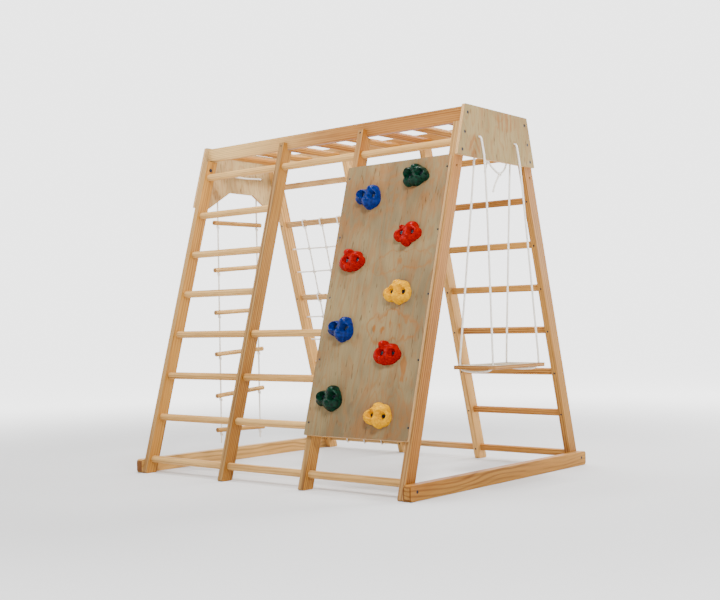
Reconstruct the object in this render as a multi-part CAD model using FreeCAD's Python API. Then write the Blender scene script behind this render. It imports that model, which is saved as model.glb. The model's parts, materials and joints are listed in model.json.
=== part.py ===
import FreeCAD, Part
import math
import os

# Jungle gym for small children: an A-frame of pine posts in three bays, with a climbing
# panel, a rope net, monkey bars, a swing and a rope ladder.
# X runs along the length, Y from the climbing panel's side to the net's side, Z is up.
# Pieces are made with X from the outer faces of the left corner posts, and moved at the end
# so that the origin is on the floor, at the middle of the whole part.

Vec = FreeCAD.Vector
X_AXIS = Vec(1, 0, 0)
Y_AXIS = Vec(0, 1, 0)
Z_AXIS = Vec(0, 0, 1)
os.makedirs("parts", exist_ok=True)

# Overall frame
frame_length = 1460.0
panel_top_height = 1488.0
foot_half_depth = 643.0
top_half_depth = 225.4

# Timber stock
post_width = 28.6
post_depth = 58.0
post_edge_round = 2.0
foot_round = 7.0
first_bay_share = 0.33253
middle_bay_share = 0.31267
corner_post_drop = 68.0
tongue_drop = 37.0
shoulder_drop_along_post = 60.2
beam_thickness = 28.6
beam_height = 58.5
beam_drop = 5.9
beam_inset = 11.4
base_bar_thickness = 36.0
base_bar_height = 60.0
base_bar_corner_round = 13.0
timber_gap = 0.2

# End panels and climbing panel
plywood = 15.0
end_panel_drop = 202.0
left_leg_drop = 287.0
arch_top_drop = 200.0
arch_top_half_width = 78.0
arch_foot_half_width = 218.0
rope_hole_drop = 117.0
rope_hole_half_spacing = 130.0
rope_hole_radius = 7.6
panel_corner_round = 4.0
climbing_panel_inset = 9.0
climbing_panel_overhang = 2.0
climbing_panel_low = 216.0
climbing_panel_drop_along_post = 213.7

# Rungs
level_count = 8
front_first_level = 69.6
back_first_level = 63.0
top_level_drop_along_post = 142.6
dowel_radius = 15.5
dowel_socket = 12.0
bar_height = 28.0
bar_thickness = 18.0
bar_tenon = 13.0
bar_edge_round = 3.0
fit_clearance = 0.06
end_clearance = 0.3
front_bay_levels = ((1, 2, 3, 4, 5, 6, 7, 8), (1, 5, 6, 7, 8), (1, 8))
back_bay_levels = ((1, 2, 4, 8), (1, 8), (1, 2, 3, 4, 5, 6, 7, 8))
monkey_bar_count = 8
monkey_bar_end_inset = 101.75
monkey_bar_rise = 19.0
monkey_bar_socket = 14.0

# Fasteners
screw_head_radius = 4.2
screw_head_depth = 3.0
screw_shank_radius = 2.1
screw_length = 34.0
screw_drive_radius = 1.8
screw_drive_depth = 1.6
tongue_screw_length = 42.0
tongue_screw_sink = 1.4
screw_mouth = 3.0
bolt_head_radius = 6.4
bolt_head_depth = 3.2
bolt_shank_radius = 3.0
bolt_socket_radius = 2.4
bolt_socket_depth = 2.0
washer_radius = 8.5
washer_thickness = 1.6
end_bolt_inset = 27.0
end_bolt_length = 36.0
through_bolt_length = 46.0
through_bolt_row = 1
barrel_rise = 1.4
end_bolt_drops = (32.0, 110.0, 180.0)
lowest_left_bolt_drop = 248.0
spare_hole_drop = 243.0
spare_hole_radius = 4.6
spare_hole_depth = 14.0
base_bolt_height = 34.0
base_bolt_inset = 40.0
base_bolt_length = 52.0
panel_screw_end_inset = 50.0
panel_screw_count = 5
tongue_screw_drop = 14.0
socket_head_depth = 4.0
head_clearance = 0.4
bore_clearance = 0.1

# Climbing holds
hold_width = 102.0
hold_bolt_radius = 4.0
hold_bolt_head_radius = 6.5
hold_bolt_head_depth = 8.0
hold_recess_depth = 14.0
tee_nut_radius = 9.0
tee_nut_thickness = 2.0
hold_seat_gap = 0.1
# Each hold's middle: across from the panel's middle as a share of its width, up from its lower
# edge as a share of its length, and the turn of the hold in degrees
hold_place_shares = (
    ("hold_green_upper", "chunky", 0.2333, 0.9313, -5.0),
    ("hold_blue_upper", "lobed", -0.2058, 0.8733, 7.0),
    ("hold_red_upper", "nubbed", 0.2360, 0.7194, 0.0),
    ("hold_red_middle", "corner", -0.2598, 0.6304, 0.0),
    ("hold_yellow_upper", "rounded", 0.2372, 0.5056, 1.5),
    ("hold_blue_lower", "lobed", -0.2650, 0.3831, 6.5),
    ("hold_red_lower", "corner", 0.2316, 0.2906, 0.0),
    ("hold_green_lower", "lobed", -0.2706, 0.1353, -1.5),
    ("hold_yellow_lower", "rounded", 0.2310, 0.0769, 4.0),
)
# Lobes of each kind of hold: across, up, radius and height, all shares of the hold's width
lobed_shares = ((-0.44, -0.15, 0.18, 0.32), (0.08, 0.20, 0.24, 0.41), (0.05, -0.21, 0.30, 0.44),
                (-0.31, -0.02, 0.28, 0.44), (0.12, 0.06, 0.30, 0.37), (0.20, -0.13, 0.29, 0.38))
chunky_shares = ((-0.29, 0.10, 0.28, 0.45), (-0.05, 0.24, 0.21, 0.42), (0.12, 0.02, 0.30, 0.40),
                 (-0.38, -0.16, 0.21, 0.32), (-0.11, -0.07, 0.31, 0.36), (0.31, -0.07, 0.18, 0.34))
corner_shares = ((-0.31, 0.30, 0.19, 0.36), (0.08, 0.12, 0.26, 0.38), (-0.37, -0.04, 0.33, 0.33),
                 (0.08, -0.10, 0.26, 0.36), (0.25, -0.01, 0.22, 0.42), (-0.20, -0.19, 0.22, 0.34))
nubbed_shares = ((-0.35, 0.24, 0.10, 0.24), (0.08, 0.14, 0.30, 0.34), (-0.41, -0.06, 0.24, 0.31),
                 (-0.07, -0.30, 0.19, 0.40), (0.31, -0.01, 0.22, 0.36), (0.13, -0.10, 0.24, 0.39))
rounded_shares = ((-0.39, -0.06, 0.28, 0.38), (-0.12, 0.30, 0.18, 0.38), (0.09, 0.15, 0.29, 0.46),
                  (0.14, -0.02, 0.33, 0.36), (0.00, -0.17, 0.25, 0.43), (-0.14, 0.06, 0.30, 0.46))
hold_bolt_shares = ((-0.26, 0.0), (0.26, 0.0))

# Ropes
rope_radius = 4.0
rope_gap = 0.3
rope_bend = 8.0
bend_share = 0.45
knot_radius = 8.5

# Rope net between the two left back posts
net_column_count = 4
net_row_count = 9
net_top_drop = 128.0
net_bottom_rise = 63.0
net_bar_levels = (2, 4, 8)
knot_seat_share = 0.9
net_end_radius = 3.7
net_end_overlap = 3.0

# Swing on the right end panel
swing_axis_drop = 178.0
swing_joint_radius = 45.0
strand_knee_drop = 226.0
outer_exit_reach = 2.7
outer_knee_offset = 33.8
inner_knee_offset = 19.4
seat_top_height = 471.0
seat_length = 400.0
seat_width = 194.0
seat_corner_round = 22.0
seat_hole_across = 77.0
seat_hole_along = 170.0
seat_hole_radius = 5.5
seat_rope_straight = 22.0
seat_rope_sag = 6.0
under_seat_drop = 1.6
# The tie rope: inward from the panel's inner face, along Y, and down from the rope holes
tie_inward, tie_end_inward = 16.0, 14.0
tie_route = (
    (tie_end_inward, 134.0, 21.0), (tie_inward, 118.0, 59.0), (tie_inward, 104.0, 101.0),
    (tie_inward, 60.0, 131.0), (tie_inward, 14.0, 113.0), (tie_inward, -34.0, 81.0),
    (tie_inward, -86.0, 49.0), (tie_end_inward, -134.0, 15.0),
)
tie_long_tail = ((tie_inward, 60.0, 128.0), (tie_inward, 22.0, 167.0), (tie_inward, 8.0, 205.0))
tie_short_tail = ((tie_inward, -30.0, 85.0), (tie_inward, -42.0, 109.0), (tie_inward, -50.0, 131.0))

# Rope ladder on the left end panel
ladder_bend = 16.0
ladder_axis_drop = 30.0
ladder_rope_sag = 7.0
rung_radius = 11.0
rung_length = 315.0
rung_end_round = 2.5
rung_hole_radius = 4.4
first_rung_drop = 344.0
last_rung_height = 145.0
rung_drop_shares = (0.0, 0.217, 0.426, 0.624, 0.821, 1.0)
rung_tilt_deg = (1.0, 5.0, 3.0, 3.6, 4.5, -1.3)
ladder_tail_lengths = (42.0, 30.0)

# Worked out from the sizes above
lean = math.atan2(foot_half_depth - top_half_depth, panel_top_height)
lean_deg = math.degrees(lean)
slant_length = panel_top_height / math.cos(lean)
beam_top_height = panel_top_height - beam_drop
beam_bottom_height = beam_top_height - beam_height
beam_front_half_depth = top_half_depth - beam_inset
corner_post_top = panel_top_height - corner_post_drop
tongue_top = panel_top_height - tongue_drop
shoulder_along_post = slant_length - shoulder_drop_along_post
level_pitch = (slant_length - top_level_drop_along_post - front_first_level) / (level_count - 1)
post_lefts = (0.0, first_bay_share * frame_length, (first_bay_share + middle_bay_share) * frame_length,
              frame_length - post_width)
rope_hole_height = panel_top_height - rope_hole_drop
end_panel_bottom = panel_top_height - end_panel_drop
left_leg_bottom = panel_top_height - left_leg_drop
arch_top_height = panel_top_height - arch_top_drop


def rounded_path(points, radii):
    """Straight runs joined by tangent arcs, one radius for each inner point, or 0 for a sharp corner."""
    edges = []
    here = points[0]
    for index in range(1, len(points) - 1):
        corner, radius = points[index], radii[index]
        back = (points[index - 1] - corner).normalize()
        ahead = (points[index + 1] - corner).normalize()
        half = back.getAngle(ahead) / 2
        if radius == 0:
            edges.append(Part.LineSegment(here, corner).toShape())
            here = corner
            continue
        reach = radius / math.tan(half)
        start = corner + back * reach
        end = corner + ahead * reach
        middle = corner + (back + ahead).normalize() * (radius / math.sin(half) - radius)
        edges.append(Part.LineSegment(here, start).toShape())
        edges.append(Part.Arc(start, middle, end).toShape())
        here = end
    edges.append(Part.LineSegment(here, points[-1]).toShape())
    return Part.Wire(edges)


def closed_outline(points, radii):
    """A closed wire through the points, with one corner radius for each point."""
    middle = (points[-1] + points[0]) * 0.5
    return rounded_path([middle] + list(points) + [middle], [0] + list(radii) + [0])


def plate(points, radii, thickness):
    """A flat board: a closed outline with rounded corners, extruded by a vector."""
    return Part.Face(closed_outline(points, radii)).extrude(thickness)


def block(low, high):
    """A box from its lowest to its highest corner."""
    size = high - low
    return Part.makeBox(size.x, size.y, size.z, low)


def eased(solid, radius, direction):
    """Round the edges of a board that run along one direction."""
    edges = [edge for edge in solid.Edges
             if edge.Curve.TypeId == "Part::GeomLine" and edge.Curve.Direction.cross(direction).Length < 0.01]
    return solid.makeFillet(radius, edges)


def slanted(shape):
    """Lean a piece made upright, as (along X, inward, along the post), into the front frame."""
    placed = shape.copy()
    placed.rotate(Vec(0, 0, 0), X_AXIS, -lean_deg)
    placed.translate(Vec(0, -foot_half_depth, 0))
    return placed


def mirrored(shape):
    """The same piece on the back frame."""
    return shape.mirror(Vec(0, 0, 0), Y_AXIS)


def front_y(height):
    """Y of the front posts' outer face at a height."""
    return -foot_half_depth + height * math.tan(lean)


def tube(wire, radius):
    """A round rope along a wire."""
    first = wire.OrderedEdges[0]
    start = first.valueAt(first.FirstParameter)
    ahead = first.tangentAt(first.FirstParameter)
    ring = Part.Wire([Part.Circle(start, ahead, radius).toShape()])
    return wire.makePipeShell([ring], True, False)


def rope_radii(points, given):
    """The largest bend at each inner point: a share of the shorter run over the tangent of half the turn."""
    radii = [0]
    for index in range(1, len(points) - 1):
        run_in = points[index] - points[index - 1]
        run_out = points[index + 1] - points[index]
        turn = run_in.getAngle(run_out)
        widest = bend_share * min(run_in.Length, run_out.Length) / math.tan(turn / 2)
        radii.append(given.get(index, widest))
    return radii + [0]


def rope(name, route, given):
    """A rope through its route, with its length and bends printed."""
    points = [Vec(*place) for place in route]
    radii = rope_radii(points, given)
    wire = rounded_path(points, radii)
    solid = tube(wire, rope_radius)
    section = math.pi * rope_radius ** 2
    print(name, "length %.0f" % wire.Length, "volume share %.4f" % (solid.Volume / (section * wire.Length)),
          "radii", [round(radius) for radius in radii[1:-1]])
    return solid


def screw(head_point, direction, length):
    """A countersunk wood screw with a small drive recess, and the room that it needs in the wood."""
    head = Part.makeCone(screw_head_radius, screw_shank_radius, screw_head_depth, head_point, direction)
    shank = Part.makeCylinder(screw_shank_radius, length, head_point, direction)
    recess = Part.makeCylinder(screw_drive_radius, screw_drive_depth, head_point, direction)
    room = Part.makeCone(screw_head_radius + bore_clearance, screw_shank_radius + bore_clearance,
                         screw_head_depth, head_point, direction)
    mouth = Part.makeCylinder(screw_head_radius + bore_clearance, screw_mouth,
                              head_point - direction * screw_mouth, direction)
    hole = Part.makeCylinder(screw_shank_radius + bore_clearance, length + end_clearance, head_point, direction)
    return head.fuse(shank).cut(recess), room.fuse([mouth, hole])


def socket_bolt(head_point, direction, length):
    """A socket bolt whose head sits in a counterbore, and the room that it needs."""
    seat = head_point + direction * socket_head_depth
    head_top = seat - direction * bolt_head_depth
    head = Part.makeCylinder(bolt_head_radius, bolt_head_depth, head_top, direction)
    shank = Part.makeCylinder(bolt_shank_radius, length, head_top, direction)
    drive = Part.makeCylinder(bolt_socket_radius, bolt_socket_depth, head_top, direction)
    room = Part.makeCylinder(bolt_head_radius + head_clearance, socket_head_depth, head_point, direction)
    hole = Part.makeCylinder(bolt_shank_radius + bore_clearance, length + end_clearance, head_top, direction)
    return head.fuse(shank).cut(drive), room.fuse(hole)


def level(first, number):
    """Height of a rung level along the post; level 1 is the top one."""
    return first + level_pitch * (level_count - number)


pieces = {}
sockets = []
bores = []
fasteners = {"frame_screws": [], "end_panel_bolts": [], "base_bar_bolts": [],
             "climbing_panel_screws": [], "hold_bolts": []}


def add_fastener(group, made):
    """Keep a fastener in its group, and its room for the boards that it passes."""
    solid, room = made
    fasteners[group].append(solid)
    bores.append(room)


# Posts


def post_blank(left, top_height):
    """A leaning post: its side outline with a rounded foot, extruded across its width and eased."""
    back_shift = post_depth / math.cos(lean)
    outline = [
        Vec(left, front_y(0), 0), Vec(left, front_y(0) + back_shift, 0),
        Vec(left, front_y(top_height) + back_shift, top_height), Vec(left, front_y(top_height), top_height),
    ]
    board = plate(outline, [foot_round, foot_round, 0, 0], X_AXIS * post_width)
    long_way = Vec(0, math.sin(lean), math.cos(lean))
    return eased(board, post_edge_round, long_way)


def notched_post(left):
    """A middle post: half of its depth rises as a tongue before the beam, above a square shoulder."""
    post = post_blank(left, tongue_top)
    above = slanted(block(Vec(left - post_width, -post_depth, shoulder_along_post),
                          Vec(left + 2 * post_width, 3 * post_depth, slant_length + post_depth)))
    behind = block(Vec(left - post_width, -beam_front_half_depth - timber_gap, corner_post_top - post_depth),
                   Vec(left + 2 * post_width, 0, panel_top_height + post_depth))
    return post.cut(above.common(behind))


post_names = ("left", "mid_left", "mid_right", "right")
for name, left in zip(post_names, post_lefts):
    if name.startswith("mid"):
        post = notched_post(left)
        screw_height = tongue_top - tongue_screw_drop
        head = Vec(left + post_width / 2, front_y(screw_height) + tongue_screw_sink, screw_height)
        solid, room = screw(head, Y_AXIS, tongue_screw_length)
        add_fastener("frame_screws", (solid, room))
        add_fastener("frame_screws", (mirrored(solid), mirrored(room)))
    else:
        post = post_blank(left, corner_post_top)
    pieces["front_post_" + name] = post
    pieces["back_post_" + name] = mirrored(post)

# Top beams

beam = eased(block(Vec(0, -beam_front_half_depth, beam_bottom_height),
                   Vec(frame_length, beam_thickness - beam_front_half_depth, beam_top_height)),
             post_edge_round, X_AXIS)
pieces["front_beam"] = beam
pieces["back_beam"] = mirrored(beam)

# Base bars, on the outer sides of the corner posts


def base_bar(left):
    """A bar on the floor, from the front foot to the back foot, with round corners at its ends."""
    board = block(Vec(left, -foot_half_depth, 0), Vec(left + base_bar_thickness, foot_half_depth, base_bar_height))
    return eased(eased(board, base_bar_corner_round, X_AXIS), post_edge_round, Y_AXIS)


pieces["base_bar_left"] = base_bar(-base_bar_thickness)
pieces["base_bar_right"] = base_bar(frame_length)
for outer, inward in ((-base_bar_thickness, X_AXIS), (frame_length + base_bar_thickness, -X_AXIS)):
    for side in (-1, 1):
        head = Vec(outer, side * (foot_half_depth - base_bolt_inset), base_bolt_height)
        add_fastener("base_bar_bolts", socket_bolt(head, inward, base_bolt_length))

# Plywood end panels with their rope holes

right_outline = [
    Vec(frame_length, front_y(end_panel_bottom), end_panel_bottom),
    Vec(frame_length, -front_y(end_panel_bottom), end_panel_bottom),
    Vec(frame_length, top_half_depth, panel_top_height),
    Vec(frame_length, -top_half_depth, panel_top_height),
]
left_outline = [
    Vec(0, front_y(left_leg_bottom), left_leg_bottom), Vec(0, -arch_foot_half_width, left_leg_bottom),
    Vec(0, -arch_top_half_width, arch_top_height), Vec(0, arch_top_half_width, arch_top_height),
    Vec(0, arch_foot_half_width, left_leg_bottom), Vec(0, -front_y(left_leg_bottom), left_leg_bottom),
    Vec(0, top_half_depth, panel_top_height), Vec(0, -top_half_depth, panel_top_height),
]
right_panel = plate(right_outline, [panel_corner_round] * 4, X_AXIS * plywood)
left_panel = plate(left_outline, [panel_corner_round] * 8, X_AXIS * -plywood)
for side in (-1, 1):
    drill = Part.makeCylinder(rope_hole_radius, frame_length + 4 * plywood,
                              Vec(-2 * plywood, side * rope_hole_half_spacing, rope_hole_height), X_AXIS)
    right_panel = right_panel.cut(drill)
    left_panel = left_panel.cut(drill)
pieces["end_panel_right"] = right_panel
pieces["end_panel_left"] = left_panel


def washer_nut(face_point, direction):
    """A washer and a low round nut on the inner face of a post, around the end of a bolt."""
    washer = Part.makeCylinder(washer_radius, washer_thickness, face_point, direction)
    barrel = Part.makeCylinder(bolt_head_radius, washer_thickness + barrel_rise, face_point, direction)
    core = Part.makeCylinder(bolt_shank_radius + bore_clearance, washer_thickness + barrel_rise,
                             face_point, direction)
    return washer.fuse(barrel).cut(core)


for outer, inward in ((-plywood, X_AXIS), (frame_length + plywood, -X_AXIS)):
    for side in (-1, 1):
        drops = end_bolt_drops + ((lowest_left_bolt_drop,) if outer < 0 else ())
        for row, drop in enumerate(drops):
            height = panel_top_height - drop
            head = Vec(outer, side * (-front_y(height) - end_bolt_inset), height)
            if row == through_bolt_row:
                add_fastener("end_panel_bolts", socket_bolt(head, inward, through_bolt_length))
                face_point = head + inward * (plywood + post_width)
                fasteners["end_panel_bolts"].append(washer_nut(face_point, inward))
            else:
                add_fastener("end_panel_bolts", socket_bolt(head, inward, end_bolt_length))
        if outer > 0:
            height = panel_top_height - spare_hole_drop
            spare = Vec(frame_length, side * (-front_y(height) - end_bolt_inset), height)
            sockets.append(Part.makeCylinder(spare_hole_radius, spare_hole_depth, spare, inward))

# Rungs: round dowels in front, flat bars behind, one node for each level


def dowel_row(number):
    """The front dowels of one level, each in blind sockets of its two posts."""
    row = []
    for bay, levels in enumerate(front_bay_levels):
        if number in levels:
            start = post_lefts[bay] + post_width - dowel_socket
            end = post_lefts[bay + 1] + dowel_socket
            middle = Vec(start, post_depth / 2, level(front_first_level, number))
            row.append(slanted(Part.makeCylinder(
                dowel_radius, end - start - 2 * end_clearance, middle + X_AXIS * end_clearance, X_AXIS)))
            sockets.append(slanted(Part.makeCylinder(
                dowel_radius + fit_clearance, end - start, middle, X_AXIS)))
    return Part.makeCompound(row)


def bar_row(number):
    """The back bars of one level, mortised into their posts."""
    row = []
    for bay, levels in enumerate(back_bay_levels):
        if number in levels:
            start = post_lefts[bay] + post_width - bar_tenon
            end = post_lefts[bay + 1] + bar_tenon
            along = level(back_first_level, number)
            low = Vec(start, (post_depth - bar_thickness) / 2, along - bar_height / 2)
            high = Vec(end, (post_depth + bar_thickness) / 2, along + bar_height / 2)
            shorter = Vec(end_clearance, 0, 0)
            slack = Vec(0, fit_clearance, fit_clearance)
            bar = eased(block(low + shorter, high - shorter), bar_edge_round, X_AXIS)
            row.append(mirrored(slanted(bar)))
            sockets.append(mirrored(slanted(eased(block(low - slack, high + slack), bar_edge_round, X_AXIS))))
    return Part.makeCompound(row)


for number in range(1, level_count + 1):
    pieces["front_dowel_row_%d" % number] = dowel_row(number)
    pieces["back_bar_row_%d" % number] = bar_row(number)
    for place, left in enumerate(post_lefts):
        joined = [bay for bay in (place - 1, place) if 0 <= bay < 3 and number in back_bay_levels[bay]]
        if joined:
            head = Vec(left + post_width / 2, post_depth, level(back_first_level, number))
            pin, room = screw(head, Vec(0, -1, 0), screw_length)
            add_fastener("frame_screws", (mirrored(slanted(pin)), mirrored(slanted(room))))

# Monkey bars between the two beams

beam_inner = beam_front_half_depth - beam_thickness
monkey_height = beam_bottom_height + monkey_bar_rise
monkey_bar_pitch = (frame_length - 2 * monkey_bar_end_inset) / (monkey_bar_count - 1)
monkey_reach = beam_inner + monkey_bar_socket
for number in range(monkey_bar_count):
    across = monkey_bar_end_inset + number * monkey_bar_pitch
    start = Vec(across, -monkey_reach, monkey_height)
    pieces["monkey_bar_%d" % (number + 1)] = Part.makeCylinder(
        dowel_radius, 2 * (monkey_reach - end_clearance), start + Y_AXIS * end_clearance, Y_AXIS)
    sockets.append(Part.makeCylinder(dowel_radius + fit_clearance, 2 * monkey_reach, start, Y_AXIS))

# Climbing panel on the front faces of the two right posts

panel_right = frame_length - climbing_panel_inset
panel_left = post_lefts[2] - climbing_panel_overhang
panel_top = slant_length - climbing_panel_drop_along_post
climbing_panel = eased(block(Vec(panel_left, -plywood, climbing_panel_low), Vec(panel_right, 0, panel_top)),
                       panel_corner_round, Y_AXIS)
pieces["climbing_panel"] = slanted(climbing_panel)
screw_rise = (panel_top - climbing_panel_low - 2 * panel_screw_end_inset) / (panel_screw_count - 1)
for left in post_lefts[2:]:
    for row in range(panel_screw_count):
        head = Vec(left + post_width / 2, -plywood, climbing_panel_low + panel_screw_end_inset + row * screw_rise)
        solid, room = screw(head, Y_AXIS, screw_length)
        add_fastener("climbing_panel_screws", (slanted(solid), slanted(room)))

# Climbing holds with their bolts and tee nuts

lobes_of = {"lobed": lobed_shares, "chunky": chunky_shares, "corner": corner_shares, "nubbed": nubbed_shares,
            "rounded": rounded_shares}


def hold_body(kind):
    """A hold at the origin: a few balls of resin, cut flat where it lies on the panel."""
    body = None
    for across_share, up_share, radius_share, rise_share in lobes_of[kind]:
        radius, rise = radius_share * hold_width, rise_share * hold_width
        ball = (radius ** 2 + rise ** 2) / (2 * rise)
        lobe = Part.makeSphere(ball, Vec(across_share * hold_width, ball - rise, up_share * hold_width))
        body = lobe if body is None else body.fuse(lobe)
    return body.cut(block(Vec(-hold_width, 0, -hold_width), Vec(hold_width, 2 * hold_width, hold_width)))


def hold_bolt(seat):
    """A bolt with its head on a seat inside the hold, its tee nut behind the panel, and their room."""
    outward = Vec(0, -1, 0)
    head_top = seat + outward * hold_bolt_head_depth
    shank_length = hold_recess_depth + hold_seat_gap + plywood + tee_nut_thickness
    head = Part.makeCylinder(hold_bolt_head_radius, hold_bolt_head_depth, seat, outward)
    drive = Part.makeCylinder(bolt_socket_radius, bolt_socket_depth, head_top, Y_AXIS)
    shank = Part.makeCylinder(hold_bolt_radius, shank_length, seat, Y_AXIS)
    hole = Part.makeCylinder(hold_bolt_radius + bore_clearance, shank_length, seat, Y_AXIS)
    recess = Part.makeCylinder(hold_bolt_head_radius + head_clearance, hold_width, seat, outward)
    behind = Vec(seat.x, hold_seat_gap + plywood, seat.z)
    nut = Part.makeCylinder(tee_nut_radius, tee_nut_thickness, behind, Y_AXIS).cut(hole)
    return head.fuse(shank).cut(drive), nut, hole, recess


for name, kind, place_share, rise_share, turn in hold_place_shares:
    body = hold_body(kind)
    shift = Vec((panel_left + panel_right) / 2 + place_share * (panel_right - panel_left),
                -plywood - hold_seat_gap,
                climbing_panel_low + rise_share * (panel_top - climbing_panel_low))
    made = []
    for across_share, up_share in hold_bolt_shares:
        seat = Vec(across_share * hold_width, -hold_recess_depth, up_share * hold_width)
        bolt, nut, hole, recess = hold_bolt(seat)
        body = body.cut(recess).cut(hole)
        made += [bolt, nut, hole]
    for shape in [body] + made:
        shape.rotate(Vec(0, 0, 0), Y_AXIS, turn)
        shape.translate(shift)
    pieces[name] = slanted(body)
    for place in range(0, len(made), 3):
        fasteners["hold_bolts"] += [slanted(made[place]), slanted(made[place + 1])]
        bores.append(slanted(made[place + 2]))

# Rope net between the two left back posts, in the middle plane of their bars


def strip(left, right, low, high):
    """A flat face in the net's plane."""
    outline = [Vec(left, 0, low), Vec(right, 0, low), Vec(right, 0, high), Vec(left, 0, high), Vec(left, 0, low)]
    return Part.Face(Part.makePolygon(outline))


def net_knot(left, outward, along):
    """A rope end through a post, knotted on the post's far side."""
    start = Vec(left - net_end_overlap, post_depth / 2, along)
    outer = left if outward < 0 else left + post_width
    ball = Part.makeSphere(knot_radius, Vec(outer + outward * knot_radius * knot_seat_share, post_depth / 2, along))
    room = block(Vec(left - timber_gap, 0, along - 2 * knot_radius),
                 Vec(left + post_width + timber_gap, post_depth, along + 2 * knot_radius))
    line = Part.makeCylinder(net_end_radius, post_width + 2 * net_end_overlap, start, X_AXIS)
    return line.fuse(ball.cut(room))


net_left = post_lefts[0] + post_width
net_right = post_lefts[1]
column_pitch = (net_right - net_left) / net_column_count
crossed_bars = [level(back_first_level, number) for number in net_bar_levels]
first_row = crossed_bars[0] - net_top_drop
net_row_pitch = (first_row - crossed_bars[-1] - net_bottom_rise) / (net_row_count - 1)
net_parts = []
for upper, lower in zip(crossed_bars[:-1], crossed_bars[1:]):
    low, high = lower + bar_height / 2, upper - bar_height / 2
    strips, knots = [], []
    for column in range(1, net_column_count):
        across = net_left + column * column_pitch
        strips.append(strip(across - rope_radius, across + rope_radius, low, high))
    for row in range(net_row_count):
        along = first_row - row * net_row_pitch
        if low + 2 * rope_radius < along < high - 2 * rope_radius:
            strips.append(strip(net_left, net_right, along - rope_radius, along + rope_radius))
            for left, outward in ((post_lefts[0], -1), (post_lefts[1], 1)):
                knots.append(net_knot(left, outward, along))
                sockets.append(mirrored(slanted(Part.makeCylinder(
                    rope_radius + rope_gap, post_width, Vec(left, post_depth / 2, along), X_AXIS))))
    face = strips[0].multiFuse(strips[1:]).removeSplitter()
    sheet = face.extrude(Vec(0, 2 * rope_radius, 0))
    sheet.translate(Vec(0, post_depth / 2 - rope_radius, 0))
    net_parts.append(sheet.multiFuse(knots))
pieces["rope_net"] = mirrored(slanted(Part.makeCompound(net_parts)))

# Swing on the right end panel: two rope loops, each through one hole, and the seat that they carry

swing_middle = frame_length + plywood / 2
swing_axis_height = panel_top_height - swing_axis_drop
knee_height = panel_top_height - strand_knee_drop
strand_offset = plywood / 2 + rope_gap + rope_radius
seat_bottom = seat_top_height - plywood
under_seat = seat_bottom - rope_radius - under_seat_drop
below_axis = block(Vec(swing_middle - seat_width, -seat_length, knee_height - seat_length),
                   Vec(swing_middle + seat_width, seat_length, swing_axis_height))


def axis_drum(radius):
    """A cylinder around the swing's axis."""
    return Part.makeCylinder(radius, 2 * seat_length, Vec(swing_middle, -seat_length, swing_axis_height), Y_AXIS)


def on_line(start, end, height):
    """The point of a straight run at a height."""
    share = (start[2] - height) / (start[2] - end[2])
    return tuple(a + share * (b - a) for a, b in zip(start, end))


def from_holes(route):
    """Places given as inward from the right panel, along Y, and down from the rope holes."""
    return [(frame_length - inward, along, rope_hole_height - drop) for inward, along, drop in route]


fixed_parts = []
swing_loops = []
for side, name in ((-1, "front"), (1, "back")):
    hole_y = side * rope_hole_half_spacing
    seat_y = side * seat_hole_along
    outer_top = (swing_middle + strand_offset + outer_exit_reach, hole_y, rope_hole_height)
    inner_top = (swing_middle - strand_offset, hole_y, rope_hole_height)
    outer_knee = (swing_middle + outer_knee_offset, hole_y, knee_height)
    inner_knee = (swing_middle - inner_knee_offset, hole_y, knee_height)
    outer_seat, inner_seat = swing_middle + seat_hole_across, swing_middle - seat_hole_across
    loop = rope("swing rope over the panel, " + name, [outer_knee, outer_top, inner_top, inner_knee],
                {1: rope_bend, 2: rope_bend})
    fixed_parts.append(loop.cut(below_axis.cut(axis_drum(swing_joint_radius - rope_gap / 2))))
    under = [
        on_line(outer_top, outer_knee, swing_axis_height), outer_knee,
        (outer_seat, seat_y, seat_top_height + seat_rope_straight), (outer_seat, seat_y, under_seat),
        (swing_middle, seat_y, under_seat - seat_rope_sag),
        (inner_seat, seat_y, under_seat), (inner_seat, seat_y, seat_top_height + seat_rope_straight),
        inner_knee, on_line(inner_top, inner_knee, swing_axis_height),
    ]
    carrier = rope("swing rope under the seat, " + name, under, {3: rope_bend, 5: rope_bend})
    swing_loops.append(carrier.cut(axis_drum(swing_joint_radius + rope_gap / 2)))

tie = rope("swing tie rope", from_holes(tie_route), {})
long_tail = rope("swing tie long tail", from_holes(tie_long_tail), {})
short_tail = rope("swing tie short tail", from_holes(tie_short_tail), {})
tie_knots = [Part.makeSphere(knot_radius, Vec(*from_holes(tail)[0])) for tail in (tie_long_tail, tie_short_tail)]
fixed_parts.append(tie.multiFuse([long_tail, short_tail] + tie_knots))
pieces["swing_top_ropes"] = Part.makeCompound(fixed_parts)
pieces["swing_ropes"] = Part.makeCompound(swing_loops)

seat_low = Vec(swing_middle - seat_width / 2, -seat_length / 2, seat_bottom)
seat = eased(block(seat_low, seat_low + Vec(seat_width, seat_length, plywood)), seat_corner_round, Z_AXIS)
for across in (-seat_hole_across, seat_hole_across):
    for along in (-seat_hole_along, seat_hole_along):
        seat = seat.cut(Part.makeCylinder(seat_hole_radius, plywood,
                                          Vec(swing_middle + across, along, seat_bottom), Z_AXIS))
pieces["swing_seat"] = seat

# Rope ladder on the left end panel: one rope through both holes, knotted under each rung

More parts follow.
